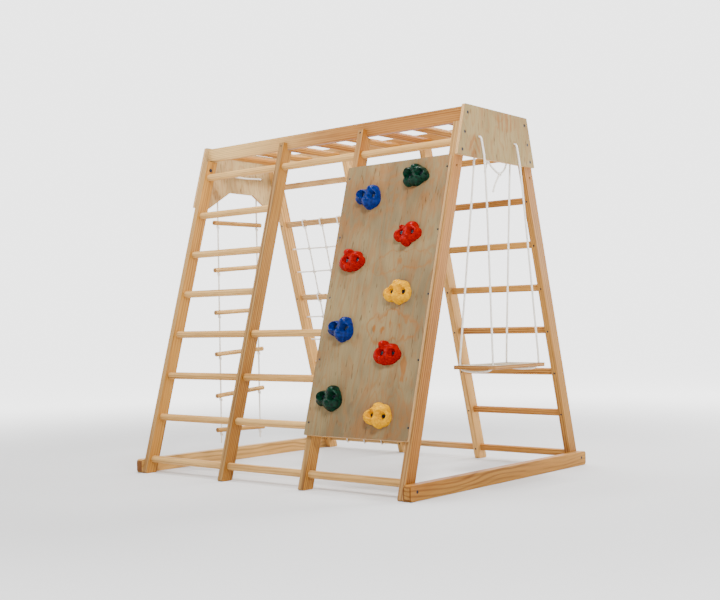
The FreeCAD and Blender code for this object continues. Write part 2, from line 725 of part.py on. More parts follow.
ladder_x = -plywood - rope_radius - ladder_bend
ladder_axis_height = rope_hole_height - ladder_axis_drop
inner_x = rope_gap + rope_radius
hole_y = rope_hole_half_spacing
over = [(ladder_x, -hole_y, ladder_axis_height + rope_radius + rope_gap), (ladder_x, -hole_y, rope_hole_height),
        (inner_x, -hole_y, rope_hole_height), (inner_x, 0, rope_hole_height - ladder_rope_sag),
        (inner_x, hole_y, rope_hole_height), (ladder_x, hole_y, rope_hole_height),
        (ladder_x, hole_y, ladder_axis_height + rope_radius + rope_gap)]
pieces["ladder_top_rope"] = rope("ladder rope through the panel", over,
                                 {1: ladder_bend, 2: rope_bend, 4: rope_bend, 5: ladder_bend})

first_rung_height = panel_top_height - first_rung_drop
rungs = []
knot_heights = {-1: [], 1: []}
for drop_share, tilt in zip(rung_drop_shares, rung_tilt_deg):
    middle = first_rung_height - drop_share * (first_rung_height - last_rung_height)
    rung = Part.makeCylinder(rung_radius, rung_length, Vec(ladder_x, -rung_length / 2, middle), Y_AXIS)
    rung = rung.makeFillet(rung_end_round, [edge for edge in rung.Edges if edge.Closed])
    rung.rotate(Vec(ladder_x, 0, middle), X_AXIS, tilt)
    slope = math.radians(tilt)
    for side in (-1, 1):
        drill = Part.makeCylinder(rung_hole_radius, 6 * rung_radius,
                                  Vec(ladder_x, side * hole_y, middle - 3 * rung_radius), Z_AXIS)
        rung = rung.cut(drill)
        at_rope = middle + side * hole_y * math.tan(slope)
        knot_heights[side].append(at_rope - (rung_radius + knot_radius + rope_gap) / math.cos(slope))
    rungs.append(rung)
pieces["ladder_rungs"] = Part.makeCompound(rungs)

ladder_ropes = []
for side, tail_length in zip((-1, 1), ladder_tail_lengths):
    low = knot_heights[side][-1] - tail_length
    line = Part.makeCylinder(rope_radius, ladder_axis_height - low, Vec(ladder_x, side * hole_y, low), Z_AXIS)
    ends = [Part.makeSphere(rope_radius, Vec(ladder_x, side * hole_y, ladder_axis_height))]
    knots = [Part.makeSphere(knot_radius, Vec(ladder_x, side * hole_y, height)) for height in knot_heights[side]]
    ladder_ropes.append(line.multiFuse(ends + knots))
pieces["ladder_ropes"] = Part.makeCompound(ladder_ropes)

# Drill every board for what it holds

drilled = [name for name in pieces if "post" in name or "beam" in name or "base_bar" in name
           or "panel" in name or "back_bar_row" in name]


def near(shape, tools):
    """The tools whose boxes meet the shape's box."""
    return [tool for tool in tools if shape.BoundBox.intersect(tool.BoundBox)]


for name in drilled:
    tools = near(pieces[name], bores)
    if "post" in name or "beam" in name:
        tools = tools + near(pieces[name], sockets)
    if tools:
        pieces[name] = Part.makeCompound([solid.cut(tools) for solid in pieces[name].Solids])

for name, group in fasteners.items():
    pieces[name] = Part.makeCompound(group)

# Centre the part on its footprint and write it

left_reach = ladder_x - rung_radius
right_reach = swing_middle + seat_width / 2
origin = Vec((left_reach + right_reach) / 2, 0, 0)
for name, shape in pieces.items():
    placed = shape.translated(-origin)
    if not placed.Solids or not placed.isValid():
        print("broken", name)
    print(name, "solids", len(placed.Solids), "of volume", round(placed.Volume))
    placed.exportStep(os.path.join("parts", name + ".step"))
print("nodes", len(pieces), "origin shift", origin)
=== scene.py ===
"""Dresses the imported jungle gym: pine, plywood, ropes, climbing holds, studio and camera."""

import json
import logging
import math
from dataclasses import dataclass, replace
from enum import Enum
from typing import Any, Iterable, Optional, Sequence, Union

import bpy
from mathutils import Matrix, Vector

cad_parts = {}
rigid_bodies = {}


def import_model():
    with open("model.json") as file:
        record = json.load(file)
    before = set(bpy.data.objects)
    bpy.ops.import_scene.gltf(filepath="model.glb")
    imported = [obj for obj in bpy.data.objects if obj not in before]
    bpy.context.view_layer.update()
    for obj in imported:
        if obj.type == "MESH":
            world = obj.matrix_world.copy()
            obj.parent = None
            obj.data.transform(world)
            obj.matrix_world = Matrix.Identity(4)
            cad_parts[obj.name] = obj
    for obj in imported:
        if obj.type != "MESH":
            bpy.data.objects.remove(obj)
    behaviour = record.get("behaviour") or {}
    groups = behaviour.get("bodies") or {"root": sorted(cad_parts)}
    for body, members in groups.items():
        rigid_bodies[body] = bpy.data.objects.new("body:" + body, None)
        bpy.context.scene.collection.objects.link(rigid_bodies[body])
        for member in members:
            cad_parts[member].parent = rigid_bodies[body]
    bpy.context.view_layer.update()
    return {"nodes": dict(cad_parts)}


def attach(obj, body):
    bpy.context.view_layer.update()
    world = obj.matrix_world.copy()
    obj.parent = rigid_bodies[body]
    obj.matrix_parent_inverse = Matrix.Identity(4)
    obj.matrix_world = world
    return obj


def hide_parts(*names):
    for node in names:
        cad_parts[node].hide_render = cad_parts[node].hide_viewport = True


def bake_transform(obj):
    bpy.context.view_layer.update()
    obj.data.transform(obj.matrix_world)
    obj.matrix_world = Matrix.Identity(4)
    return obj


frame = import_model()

log = logging.getLogger("jungle_gym")

Colour = tuple[float, ...]
Place = tuple[float, float, float]
Material = bpy.types.Material
Piece = bpy.types.Object
Socket = bpy.types.NodeSocket

ORIGIN_SHIFT = 0.75925
FOOT_HALF_DEPTH = 0.643
TOP_HALF_DEPTH = 0.2254
TOP_HEIGHT = 1.488
LEAN = math.atan2(FOOT_HALF_DEPTH - TOP_HALF_DEPTH, TOP_HEIGHT)
TURN = 2 * math.pi
LAY_LENGTH = 0.014
ROUTE_SUBDIVISIONS = 32
COIL_RADIUS = 1.12
COIL_PITCH = 1.55
COIL_ROPE = 0.94
CROSSING_REACH = (1.75, 1.35, 1.15)
CROSSING_ROPE = 0.9
CROSSING_STEPS = 26
CROSSING_SIDES = 8
KNOT_STEPS = 14
KNOT_SIDES = 10
FRAME_BODY = "frame"


def srgb(*channels: int) -> Colour:
    """The linear colour of a screen's red, green and blue from 0 to 255."""
    shares = (channel / 255 for channel in channels)
    return tuple(s / 12.92 if s <= 0.04045 else ((s + 0.055) / 1.055) ** 2.4 for s in shares)


def front_place(x: float, inward: float, along: float) -> Vector:
    """A place in the leaning front frame, so deep in its posts and so far along them from the foot."""
    y = -FOOT_HALF_DEPTH + along * math.sin(LEAN) + inward * math.cos(LEAN)
    return Vector((x - ORIGIN_SHIFT, y, along * math.cos(LEAN) - inward * math.sin(LEAN)))


def back_place(x: float, inward: float, along: float) -> Vector:
    """The same place in the leaning back frame."""
    place = front_place(x, inward, along)
    return Vector((place.x, -place.y, place.z))


class Value:
    """A number that varies over a surface, so that shader maths reads as an expression."""

    def __init__(self, shader: "Shader", socket: Socket) -> None:
        """Wrap a shader's socket that carries a number."""
        self.shader = shader
        self.socket = socket

    def math(self, operation: str, first: Any, second: Any = 0.0, clamp: bool = False) -> "Value":
        """Add one Math node; clamp keeps its result between 0 and 1."""
        node = self.shader.node("ShaderNodeMath", {"operation": operation, "use_clamp": clamp},
                                {0: first, 1: second})
        return Value(self.shader, node.outputs[0])

    def __add__(self, other: Any) -> "Value":
        """Sum."""
        return self.math("ADD", self, other)

    __radd__ = __add__

    def __sub__(self, other: Any) -> "Value":
        """Difference."""
        return self.math("SUBTRACT", self, other)

    def __rsub__(self, other: Any) -> "Value":
        """Difference from a plain number."""
        return self.math("SUBTRACT", other, self)

    def __mul__(self, other: Any) -> "Value":
        """Product."""
        return self.math("MULTIPLY", self, other)

    __rmul__ = __mul__

    def __truediv__(self, other: Any) -> "Value":
        """Quotient."""
        return self.math("DIVIDE", self, other)

    def __pow__(self, other: Any) -> "Value":
        """Power."""
        return self.math("POWER", self, other)

    def __abs__(self) -> "Value":
        """Distance from zero."""
        return self.math("ABSOLUTE", self)

    def sine(self) -> "Value":
        """Sine of the number in radians."""
        return self.math("SINE", self)

    def wave(self) -> "Value":
        """Sine of the number in radians, brought between 0 and 1."""
        return self.sine() * 0.5 + 0.5

    def highest(self, other: Any) -> "Value":
        """The greater of two numbers."""
        return self.math("MAXIMUM", self, other)

    def clamped(self) -> "Value":
        """The number kept between 0 and 1."""
        return self.math("ADD", self, 0.0, True)

    def between(self, low: float, high: float) -> "Value":
        """A smooth step from 0 at the low number to 1 at the high one."""
        node = self.shader.node("ShaderNodeMapRange", {"interpolation_type": "SMOOTHSTEP"},
                                {"Value": self, "From Min": low, "From Max": high})
        return Value(self.shader, node.outputs["Result"])


Input = Union[Value, Socket, float, Sequence[float]]


class Shader:
    """The node tree of a material or a world, with one method that makes any node."""

    def __init__(self, owner: Union[Material, bpy.types.World]) -> None:
        """Start an empty tree.

        Args:
            owner: The material or world.
        """
        owner.use_nodes = True
        self.owner = owner
        self.tree = owner.node_tree
        self.tree.nodes.clear()

    @classmethod
    def named(cls, name: str) -> "Shader":
        """The tree of a new material of that name."""
        return cls(bpy.data.materials.new(name))

    def node(self, kind: str, settings: dict[str, Any], inputs: dict[Any, Input]) -> bpy.types.Node:
        """Make a node, set it up and connect it.

        Args:
            kind: The node's type.
            settings: Its settings by name, such as a Math node's operation.
            inputs: Values or links by the input's name or number; None leaves an input alone.

        Returns:
            The node.
        """
        node = self.tree.nodes.new(kind)
        for key, value in settings.items():
            setattr(node, key, value)
        for key, value in inputs.items():
            socket = node.inputs[key]
            if isinstance(value, Value):
                value = value.socket
            if isinstance(value, Socket):
                self.tree.links.new(value, socket)
            elif value is not None:
                opaque = socket.type == "RGBA" and len(value) == 3
                socket.default_value = (*value, 1.0) if opaque else value
        return node

    def coordinates(self, kind: str) -> Socket:
        """Texture coordinates of a kind, such as Object or UV."""
        return self.node("ShaderNodeTexCoord", {}, {}).outputs[kind]

    def placed(self, rotation: Place = (0, 0, 0), location: Place = (0, 0, 0)) -> Socket:
        """Object coordinates, turned in radians and then moved."""
        return self.mapped(self.coordinates("Object"), rotation, location)

    def mapped(self, vector: Socket, rotation: Place = (0, 0, 0), location: Place = (0, 0, 0),
               scale: Place = (1, 1, 1)) -> Socket:
        """A vector, stretched, turned in radians and then moved."""
        node = self.node("ShaderNodeMapping", {}, {"Vector": vector, "Rotation": rotation,
                                                   "Location": location, "Scale": scale})
        return node.outputs["Vector"]

    def axes(self, vector: Socket) -> tuple[Value, Value, Value]:
        """The X, Y and Z of a vector."""
        node = self.node("ShaderNodeSeparateXYZ", {}, {"Vector": vector})
        return (Value(self, node.outputs[0]), Value(self, node.outputs[1]), Value(self, node.outputs[2]))

    def noise(self, vector: Socket, scale: float, detail: float = 3.0, roughness: float = 0.5,
              distortion: float = 0.0) -> Value:
        """Cloudy noise between 0 and 1; detail counts its finer layers, roughness is their strength."""
        node = self.node("ShaderNodeTexNoise", {}, {"Vector": vector, "Scale": scale, "Detail": detail,
                                                    "Roughness": roughness, "Distortion": distortion})
        return Value(self, node.outputs[0])

    def stretched(self, vector: Socket, scale: Place, *settings: float) -> Value:
        """Noise, with its own settings, on a stretched vector."""
        return self.noise(self.mapped(vector, scale=scale), *settings)

    def blend(self, share: Input, first: Any, second: Any, mode: str = "MIX") -> Socket:
        """Mix two colours by a share of the second."""
        settings = {"data_type": "RGBA", "blend_type": mode}
        return self.node("ShaderNodeMix", settings, {0: share, 6: first, 7: second}).outputs[2]

    def bump(self, height: Value, strength: float, distance: float, below: Optional[Socket] = None) -> Socket:
        """A normal from a height of so many metres, on top of the normal below it."""
        inputs = {"Height": height, "Strength": strength, "Distance": distance, "Normal": below}
        return self.node("ShaderNodeBump", {}, inputs).outputs["Normal"]

    def surface(self, colour: Input, roughness: Input, normal: Optional[Socket] = None,
                **constants: Input) -> Material:
        """Finish the material with one surface shader.

        Args:
            colour: Base colour.
            roughness: Roughness.
            normal: Normal, where it isn't the mesh's own.
            constants: Other inputs by name, with underscores for spaces; a colour may be a link.

        Returns:
            The material.
        """
        inputs = {"Base Color": colour, "Roughness": roughness, "Normal": normal}
        inputs.update({name.replace("_", " "): value for name, value in constants.items()})
        node = self.node("ShaderNodeBsdfPrincipled", {}, inputs)
        self.node("ShaderNodeOutputMaterial", {}, {"Surface": node.outputs[0]})
        return self.owner


class Grain(Enum):
    """Which way a board's fibres run, as the turn that stands them upright."""

    FRONT_POST = (LEAN, 0.0, 0.0)
    BACK_POST = (-LEAN, 0.0, 0.0)
    ALONG_X = (0.0, -math.pi / 2, 0.0)
    ALONG_Y = (math.pi / 2, 0.0, 0.0)


@dataclass(frozen=True)
class Pine:
    """Clear pine under satin varnish, with growth rings cut by the board's faces; front faces and one end of
    some boards are blended towards a pale colour as painted light.
    """

    name: str
    grain: Grain
    tone: float = 1.0
    early: Colour = srgb(204, 147, 68)
    middle: Colour = srgb(178, 112, 40)
    late: Colour = srgb(98, 46, 10)
    # The pale colour below, and the share of it that front faces get, are painted light; faded ends take the
    # same colour.
    painted_light: Colour = srgb(196, 170, 122)
    front_light_share: float = 0.12
    # Where along the board one end is blended towards the pale colour, as painted light falling on that end.
    light_fade: tuple[float, float] = (0.0, 0.0)
    pith: tuple[float, float] = (0.31, 0.17)
    ring: float = 0.008
    wander: float = 0.045
    stretch: float = 0.09
    contrast: float = 0.75
    heart: Optional[tuple[float, float]] = None
    bar_half: tuple[float, float] = (0.018, 0.03)
    relief: float = 0.0004

    def material(self) -> Material:
        """Build the material.

        Returns:
            The material.
        """
        shader = Shader.named(self.name)
        board = shader.placed(self.grain.value)
        x, y, z = shader.axes(board)
        facing = shader.coordinates("Normal")
        end = abs(shader.axes(shader.mapped(facing, self.grain.value))[2]).between(0.7, 0.95)
        # Faces turned towards -Y, which get the pale colour as painted light.
        front = (0 - shader.axes(facing)[1]).between(0.6, 0.9)
        drift = shader.stretched(board, (1.0, 1.0, self.stretch), 5.0, 2.0, 0.45)
        ripple = shader.stretched(board, (1.0, 1.0, 0.05), 34.0, 2.0, 0.5)
        across, deep = x - self.pith[0], y - self.pith[1]
        away = (across * across + deep * deep) ** 0.5 + (drift - 0.5) * self.wander + (ripple - 0.5) * 0.009
        wave = (away * (TURN / self.ring)).wave()
        strength = shader.stretched(board, (1.0, 1.0, 0.1), 14.0, 1.0, 0.4).between(0.3, 0.7)
        band = wave ** 2.4 * (strength * 0.75 + 0.25)
        fibres = shader.stretched(board, (1.0, 1.0, 0.02), 520.0, 3.0, 0.6)
        streaks = shader.stretched(board, (1.0, 1.0, 0.03), 90.0, 2.0, 0.6).between(0.5, 0.74)
        tone = shader.stretched(board, (1.0, 1.0, 0.12), 6.0, 2.0, 0.5).between(0.3, 0.7)
        colour = shader.blend(tone, self.early, self.middle)
        # Painted light: the board's low end along its length is blended towards the pale colour.
        if self.light_fade[0] != self.light_fade[1]:
            colour = shader.blend((1 - z.between(*self.light_fade)) * 0.7, colour, self.painted_light)
        # Painted light: front faces blended towards the pale colour.
        colour = shader.blend(front * self.front_light_share, colour, self.painted_light)
        colour = shader.blend(band * self.contrast, colour, self.late)
        colour = shader.blend(streaks * 0.35, colour, self.late)
        colour = shader.blend(fibres.between(0.36, 0.7) * 0.2, colour, self.late, "MULTIPLY")
        rim = wave * 0.5 + 0.3
        if self.heart:
            wide = abs(x - self.heart[0]) / self.bar_half[0]
            tall = abs(y - self.heart[1]) / self.bar_half[1]
            rim = (wide.highest(tall) + drift * 0.4).between(0.8, 1.0) * 0.8
        colour = shader.blend(end * rim, colour, self.late)
        colour = shader.blend(1.0, colour, (self.tone,) * 3, "MULTIPLY")
        normal = shader.bump(band * 0.5 + fibres * 0.5, 0.28, self.relief)
        return shader.surface(colour, fibres * 0.12 + 0.4, normal, Specular_IOR_Level=0.1)


@dataclass(frozen=True)
class Mark:
    """A patch of stronger figure or a plain darker patch on a board's face, with its waves' counts."""

    across: float
    along: float
    half_width: float
    half_height: float
    stripes: float = 0.0
    chevrons: float = 0.0
    contours: float = 0.0
    strength: float = 0.5
    tint: Colour = srgb(150, 92, 40)


@dataclass(frozen=True)
class Plywood:
    """Pine plywood: peeled veneer on its faces and the plies' ends on its edges."""

    name: str
    rotation: Place
    location: Place
    marks: tuple[Mark, ...] = ()
    thickness: float = 0.015
    plies: int = 5
    pale: Colour = srgb(150, 130, 92)
    grey: Colour = srgb(118, 102, 74)
    flame: Colour = srgb(150, 92, 40)
    fleck: Colour = srgb(76, 48, 26)
    core: Colour = srgb(222, 184, 128)
    glue: Colour = srgb(120, 78, 44)
    relief: float = 0.0004
    arris: tuple[float, float] = (0.0009, 0.0002)

    def material(self) -> Material:
        """Build the material, read with the board's thickness along Y and its grain along Z.

        Returns:
            The material.
        """
        shader = Shader.named(self.name)
        board = shader.placed(self.rotation, self.location)
        x, y, z = shader.axes(board)
        swirl = shader.stretched(board, (1.0, 0.4, 0.26), 6.5, 3.0, 0.55, 0.5)
        lines = (swirl * 88.0).wave() ** 3.0
        figure = shader.stretched(board, (1.0, 0.4, 0.5), 5.5, 3.0, 0.6, 1.2)
        rings = (figure * 34.0).wave() ** 1.5
        patch = shader.stretched(board, (1.0, 0.4, 0.6), 3.6, 2.0, 0.5).between(0.5, 0.6)
        cloud = shader.stretched(board, (1.0, 0.4, 0.45), 5.0, 3.0, 0.6).between(0.32, 0.68)
        fibres = shader.stretched(board, (1.0, 1.0, 0.03), 480.0, 3.0, 0.6)
        face = shader.blend(cloud, self.pale, self.grey)
        face = shader.blend(lines * 0.3, face, self.flame)
        face = shader.blend(patch * (rings * 0.35 + 0.05), face, self.flame)
        edges = shader.stretched(board, (1.0, 0.4, 0.25), 30.0, 2.0, 0.5)
        warp = (shader.stretched(board, (1.0, 0.4, 1.0), 10.0, 2.0, 0.5) - 0.5) * 2.4
        for mark in self.marks:
            wide, tall = (x - mark.across) / mark.half_width, (z - mark.along) / mark.half_height
            away = wide * wide + tall * tall
            if mark.contours:
                away = away + warp
            inside = 1 - (away + edges * 0.9).between(0.9, 1.35)
            phase = wide * mark.stripes + (abs(wide) * 1.6 + tall) * mark.chevrons + away * mark.contours
            wave = (phase + edges * 7.0).wave().between(0.35, 0.75)
            face = shader.blend(inside * (wave * mark.strength + 0.05), face, mark.tint)
        face = shader.blend(fibres.between(0.42, 0.72) * 0.2, face, self.fleck)
        specks = shader.stretched(board, (1.0, 1.0, 0.12), 190.0, 1.0, 0.3).between(0.7, 0.76)
        face = shader.blend(specks * 0.6, face, self.fleck)
        ply = (y / self.thickness + 0.5) * self.plies
        layer = (ply * TURN).sine()
        alternate = (ply * math.pi).sine().between(-0.2, 0.2)
        line = (1 - abs((ply * math.pi).sine())) ** 9.0
        edge = shader.blend(alternate * 0.55, self.core, self.flame)
        edge = shader.blend(fibres.between(0.4, 0.7) * 0.3, edge, self.glue)
        edge = shader.blend(line.clamped() * 0.9, edge, self.glue)
        half = self.thickness / 2
        between_faces = 1 - abs(y).between(half - self.arris[0], half - self.arris[1])
        colour = shader.blend(between_faces, face, edge)
        normal = shader.bump(fibres * 0.6 + lines * 0.2 + layer * 0.1, 0.25, self.relief)
        return shader.surface(colour, fibres * 0.14 + 0.5, normal, Specular_IOR_Level=0.08)


class Lay(Enum):
    """How a rope is made, as the number of strands around it."""

    BRAIDED = 4
    TWISTED = 3


@dataclass(frozen=True)
class Cotton:
    """Off-white cotton rope, read on the UV map that runs around and along it, with painted shade in the
    crevices between strands.
    """

    name: str
    lay: Lay
    light: Colour = srgb(254, 251, 244)
    shade: Colour = srgb(226, 218, 202)
    relief: float = 0.0009

    def material(self) -> Material:
        """Build the material.

        Returns:
            The material.
        """
        shader = Shader.named(self.name)
        around, along, _ = shader.axes(shader.coordinates("UV"))
        if self.lay is Lay.BRAIDED:
            right = ((around * self.lay.value + along) * TURN).sine()
            left = ((around * self.lay.value - along) * TURN).sine()
            strand = right.highest(left) * 0.5 + 0.5
        else:
            strand = abs(((around * self.lay.value + along) * math.pi).sine())
        yarn = ((around * (6 * self.lay.value) - along * 5.0) * TURN).wave()
        fuzz = shader.noise(shader.placed(), 900.0, 2.0, 0.6)
        # Painted shade: the crevices between strands take the shade colour, the strands' crowns the light
        # colour.
        depth = (strand * 0.8 + yarn * 0.12 + fuzz * 0.2).clamped()
        colour = shader.blend(depth, self.shade, self.light)
        normal = shader.bump(depth, 0.9, self.relief)
        return shader.surface(colour, fuzz * 0.1 + 0.82, normal, Sheen_Weight=0.25, Sheen_Roughness=0.5)


@dataclass(frozen=True)
class CastResin:
    """The coloured, slightly gritty resin of a climbing hold."""

    name: str
    base: Colour
    deep: Colour
    gloss: float = 0.12
    lump_relief: float = 0.0022
    grit_relief: float = 0.0005

    def material(self) -> Material:
        """Build the material.

        Returns:
            The material.
        """
        shader = Shader.named(self.name)
        place = shader.placed()
        grit = shader.noise(place, 850.0, 2.0, 0.7)
        lumps = shader.noise(place, 95.0, 3.0, 0.6)
        colour = shader.blend(lumps.between(0.35, 0.7), self.deep, self.base)
        normal = shader.bump(lumps, 0.5, self.lump_relief)
        normal = shader.bump(grit, 0.5, self.grit_relief, normal)
        return shader.surface(colour, grit * 0.2 + 0.14, normal, Specular_IOR_Level=self.gloss)


@dataclass(frozen=True)
class Zinc:
    """Dull plated steel of the screws and bolts."""

    name: str
    base: Colour = srgb(62, 68, 80)
    worn: Colour = srgb(24, 26, 30)
    relief: float = 0.0002

    def material(self) -> Material:
        """Build the material.

        Returns:
            The material.
        """
        shader = Shader.named(self.name)
        spots = shader.noise(shader.placed(), 420.0, 3.0, 0.6)
        colour = shader.blend(spots.between(0.35, 0.65), self.base, self.worn)
        return shader.surface(colour, spots * 0.2 + 0.3, shader.bump(spots, 0.2, self.relief), Metallic=0.85)


@dataclass(frozen=True)
class StudioFloor:
    """A pale matt floor that grows as bright as the surround far from the object."""

    name: str
    tone: Colour = (0.7, 0.7, 0.7)
    near: float = 1.6
    far: float = 5.6
    glow: float = 2.9

    def material(self) -> Material:
        """Build the material.

        Returns:
            The material.
        """
        shader = Shader.named(self.name)
        x, y, _ = shader.axes(shader.placed())
        away = ((x * x + y * y) ** 0.5).between(self.near, self.far)
        glow = shader.blend(away, (0.0, 0.0, 0.0), (1.0, 1.0, 1.0))
        return shader.surface(self.tone, away * 0.1 + 0.8, None, Emission_Color=glow,
                              Emission_Strength=self.glow, Specular_IOR_Level=0.1)


def dress(nodes: Iterable[str], material: Material) -> None:
    """Give CAD nodes a material.

    Args:
        nodes: The nodes' names.
        material: The material.
    """
    for name in nodes:
        piece = frame["nodes"][name]
        if not piece.material_slots:
            piece.data.materials.append(material)
        for slot in piece.material_slots:
            slot.material = material


def only(*pieces: Piece) -> None:
    """Select these pieces and nothing else.

    Args:
        pieces: The pieces; the last one is made active.
    """
    for other in bpy.context.view_layer.objects:
        other.select_set(False)
    for piece in pieces:
        piece.select_set(True)
        bpy.context.view_layer.objects.active = piece


def modified(piece: Piece, kind: str, **settings: Any) -> None:
    """Put a modifier on a piece and apply it.

    Args:
        piece: The piece.
        kind: The modifier's type.
        settings: Its settings by name.
    """
    only(piece)
    modifier = piece.modifiers.new(kind.lower(), kind)
    for name, value in settings.items():
        setattr(modifier, name, value)
    bpy.ops.object.modifier_apply(modifier=modifier.name)


def joined(parts: Sequence[Piece], name: str) -> Piece:
    """Join pieces into one.

    Args:
        parts: The pieces; they become one.
        name: The new piece's name.

    Returns:
        The piece.
    """
    only(*parts)
    if len(parts) > 1:
        bpy.ops.object.join()
    piece = bpy.context.view_layer.objects.active
    piece.name = name
    return piece


def finished(piece: Piece, material: Material, body: Optional[str]) -> None:
    """Give a new piece its material, body and slot.

    Args:
        piece: The piece.
        material: Its material.
        body: The body it moves with, or None where it bends between two.
    """
    piece.data.materials.clear()
    piece.data.materials.append(material)
    if body:
        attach(piece, body)
    log.info("%s: %d faces", piece.name, len(piece.data.polygons))


def route_points(route: Sequence[Vector], spacing: float) -> list[Vector]:
    """Evenly spaced points on the smooth line of a rope.

    Args:
        route: The line's control points.
        spacing: Distance between the points.

    Returns:
        The points, from the route's first to its last.
    """
    curve = bpy.data.curves.new("route", "CURVE")
    curve.dimensions = "3D"
    curve.resolution_u = ROUTE_SUBDIVISIONS
    spline = curve.splines.new("NURBS")
    spline.points.add(len(route) - 1)
    for point, place in zip(spline.points, route):
        point.co = (*place, 1.0)
    spline.order_u = 3
    spline.use_endpoint_u = True
    holder = bpy.data.objects.new("route", curve)
    line = bpy.data.meshes.new_from_object(holder)
    raw = [vertex.co.copy() for vertex in line.vertices]
    bpy.data.objects.remove(holder)
    bpy.data.curves.remove(curve)
    bpy.data.meshes.remove(line)
    lengths = [0.0]
    for before, after in zip(raw, raw[1:]):
        lengths.append(lengths[-1] + (after - before).length)
    count = max(2, round(lengths[-1] / spacing))
    points = []
    step = 0
    for index in range(count + 1):
        wanted = lengths[-1] * index / count
        while step < len(raw) - 2 and lengths[step + 1] < wanted:
            step += 1
        share = (wanted - lengths[step]) / max(lengths[step + 1] - lengths[step], 1e-9)
        points.append(raw[step].lerp(raw[step + 1], min(max(share, 0.0), 1.0)))
    return points


def line_length(points: Sequence[Vector]) -> float:
    """Length of a line through points."""
    return sum((after - before).length for before, after in zip(points, points[1:]))


def rope_tube(name: str, points: Sequence[Vector], radius: float, sides: int = 12,
              closed: bool = False) -> Piece:
    """A round rope along points, with a UV map that runs around it and along it.

    Args:
        name: The piece's name.
        points: The points of its middle line.
        radius: The rope's radius.
        sides: Faces around it.
        closed: Whether it runs back into its start.

    Returns:
        The piece.
    """
    count = len(points)
    tangents = []
    for index in range(count):
        before = points[index - 1] if index or closed else points[0]
        after = points[(index + 1) % count] if index < count - 1 or closed else points[-1]
        tangents.append((after - before).normalized())
    side = tangents[0].orthogonal().normalized()
    corners, rings, run = [], [], [0.0]
    for index, (place, ahead) in enumerate(zip(points, tangents)):
        side = (side - ahead * side.dot(ahead)).normalized()
        up = ahead.cross(side)
        rings.append([len(corners) + turn for turn in range(sides)])
        for turn in range(sides):
            angle = TURN * turn / sides
            corners.append(place + (side * math.cos(angle) + up * math.sin(angle)) * radius)
        if index:
            run.append(run[-1] + (place - points[index - 1]).length)
    faces, maps = [], []
    spans = list(zip(range(count - 1), range(1, count)))
    if closed:
        spans.append((count - 1, 0))
        run.append(run[-1] + (points[0] - points[-1]).length)
    for here, there in spans:
        low, high = run[here] / LAY_LENGTH, run[here + 1] / LAY_LENGTH
        for turn in range(sides):
            after = (turn + 1) % sides
            faces.append((rings[here][turn], rings[here][after], rings[there][after], rings[there][turn]))
            left, right = turn / sides, (turn + 1) / sides
            maps += [(left, low), (right, low), (right, high), (left, high)]
    if not closed:
        for ring, ahead, place, flip in ((rings[0], -tangents[0], points[0], True),
                                         (rings[-1], tangents[-1], points[-1], False)):
            corners.append(place + ahead * radius * 0.5)
            tip = len(corners) - 1
            for turn in range(sides):
                after = (turn + 1) % sides
                pair = (ring[after], ring[turn]) if flip else (ring[turn], ring[after])
                faces.append((*pair, tip))
                maps += [(turn / sides, 0.0), ((turn + 1) / sides, 0.0), (turn / sides, 0.3)]
    mesh = bpy.data.meshes.new(name)
    mesh.from_pydata(corners, [], faces)
    layer = mesh.uv_layers.new(name="UVMap")
    for loop, place in zip(layer.data, maps):
        loop.uv = place
    mesh.polygons.foreach_set("use_smooth", [True] * len(mesh.polygons))
    piece = bpy.data.objects.new(name, mesh)
    bpy.context.scene.collection.objects.link(piece)
    return piece


def barrel_knot(name: str, middle: Vector, axis: Vector, rope: float, turns: float) -> Piece:
    """A stopper knot: turns of rope wound close around the rope itself.

    Args:
        name: The piece's name.
        middle: The knot's middle.
        axis: The way the rope runs.
        rope: The rope's radius.
        turns: Number of turns.

    Returns:
        The piece.
    """
    ahead = axis.normalized()
    side = ahead.orthogonal().normalized()
    up = ahead.cross(side)
    steps = round(KNOT_STEPS * turns)
    coil, pitch = rope * COIL_RADIUS, rope * COIL_PITCH
    points = []
    for step in range(steps + 1):
        angle = TURN * turns * step / steps
        along = (step / steps - 0.5) * pitch * turns
        points.append(middle + ahead * along + (side * math.cos(angle) + up * math.sin(angle)) * coil)
    return rope_tube(name, points, rope * COIL_ROPE, KNOT_SIDES)


def crossing_knot(name: str, middle: Vector, right: Vector, up: Vector, rope: float) -> Piece:
    """A knot where two ropes of the net cross: one rope's turn around the other, laid as a cross.

    Args:
        name: The piece's name.
        middle: The crossing.
        right: The way one rope runs.
        up: The way the other rope runs.
        rope: The rope's radius.

    Returns:
        The piece.
    """
    out = right.cross(up).normalized()
    wide, tall, proud = (rope * share for share in CROSSING_REACH)
    points = []
    for step in range(CROSSING_STEPS):
        angle = TURN * step / CROSSING_STEPS
        points.append(middle + right * (wide * math.cos(angle)) + up * (tall * math.sin(2 * angle))
                      + out * (proud * math.sin(angle)))
    return rope_tube(name, points, rope * CROSSING_ROPE, CROSSING_SIDES, closed=True)


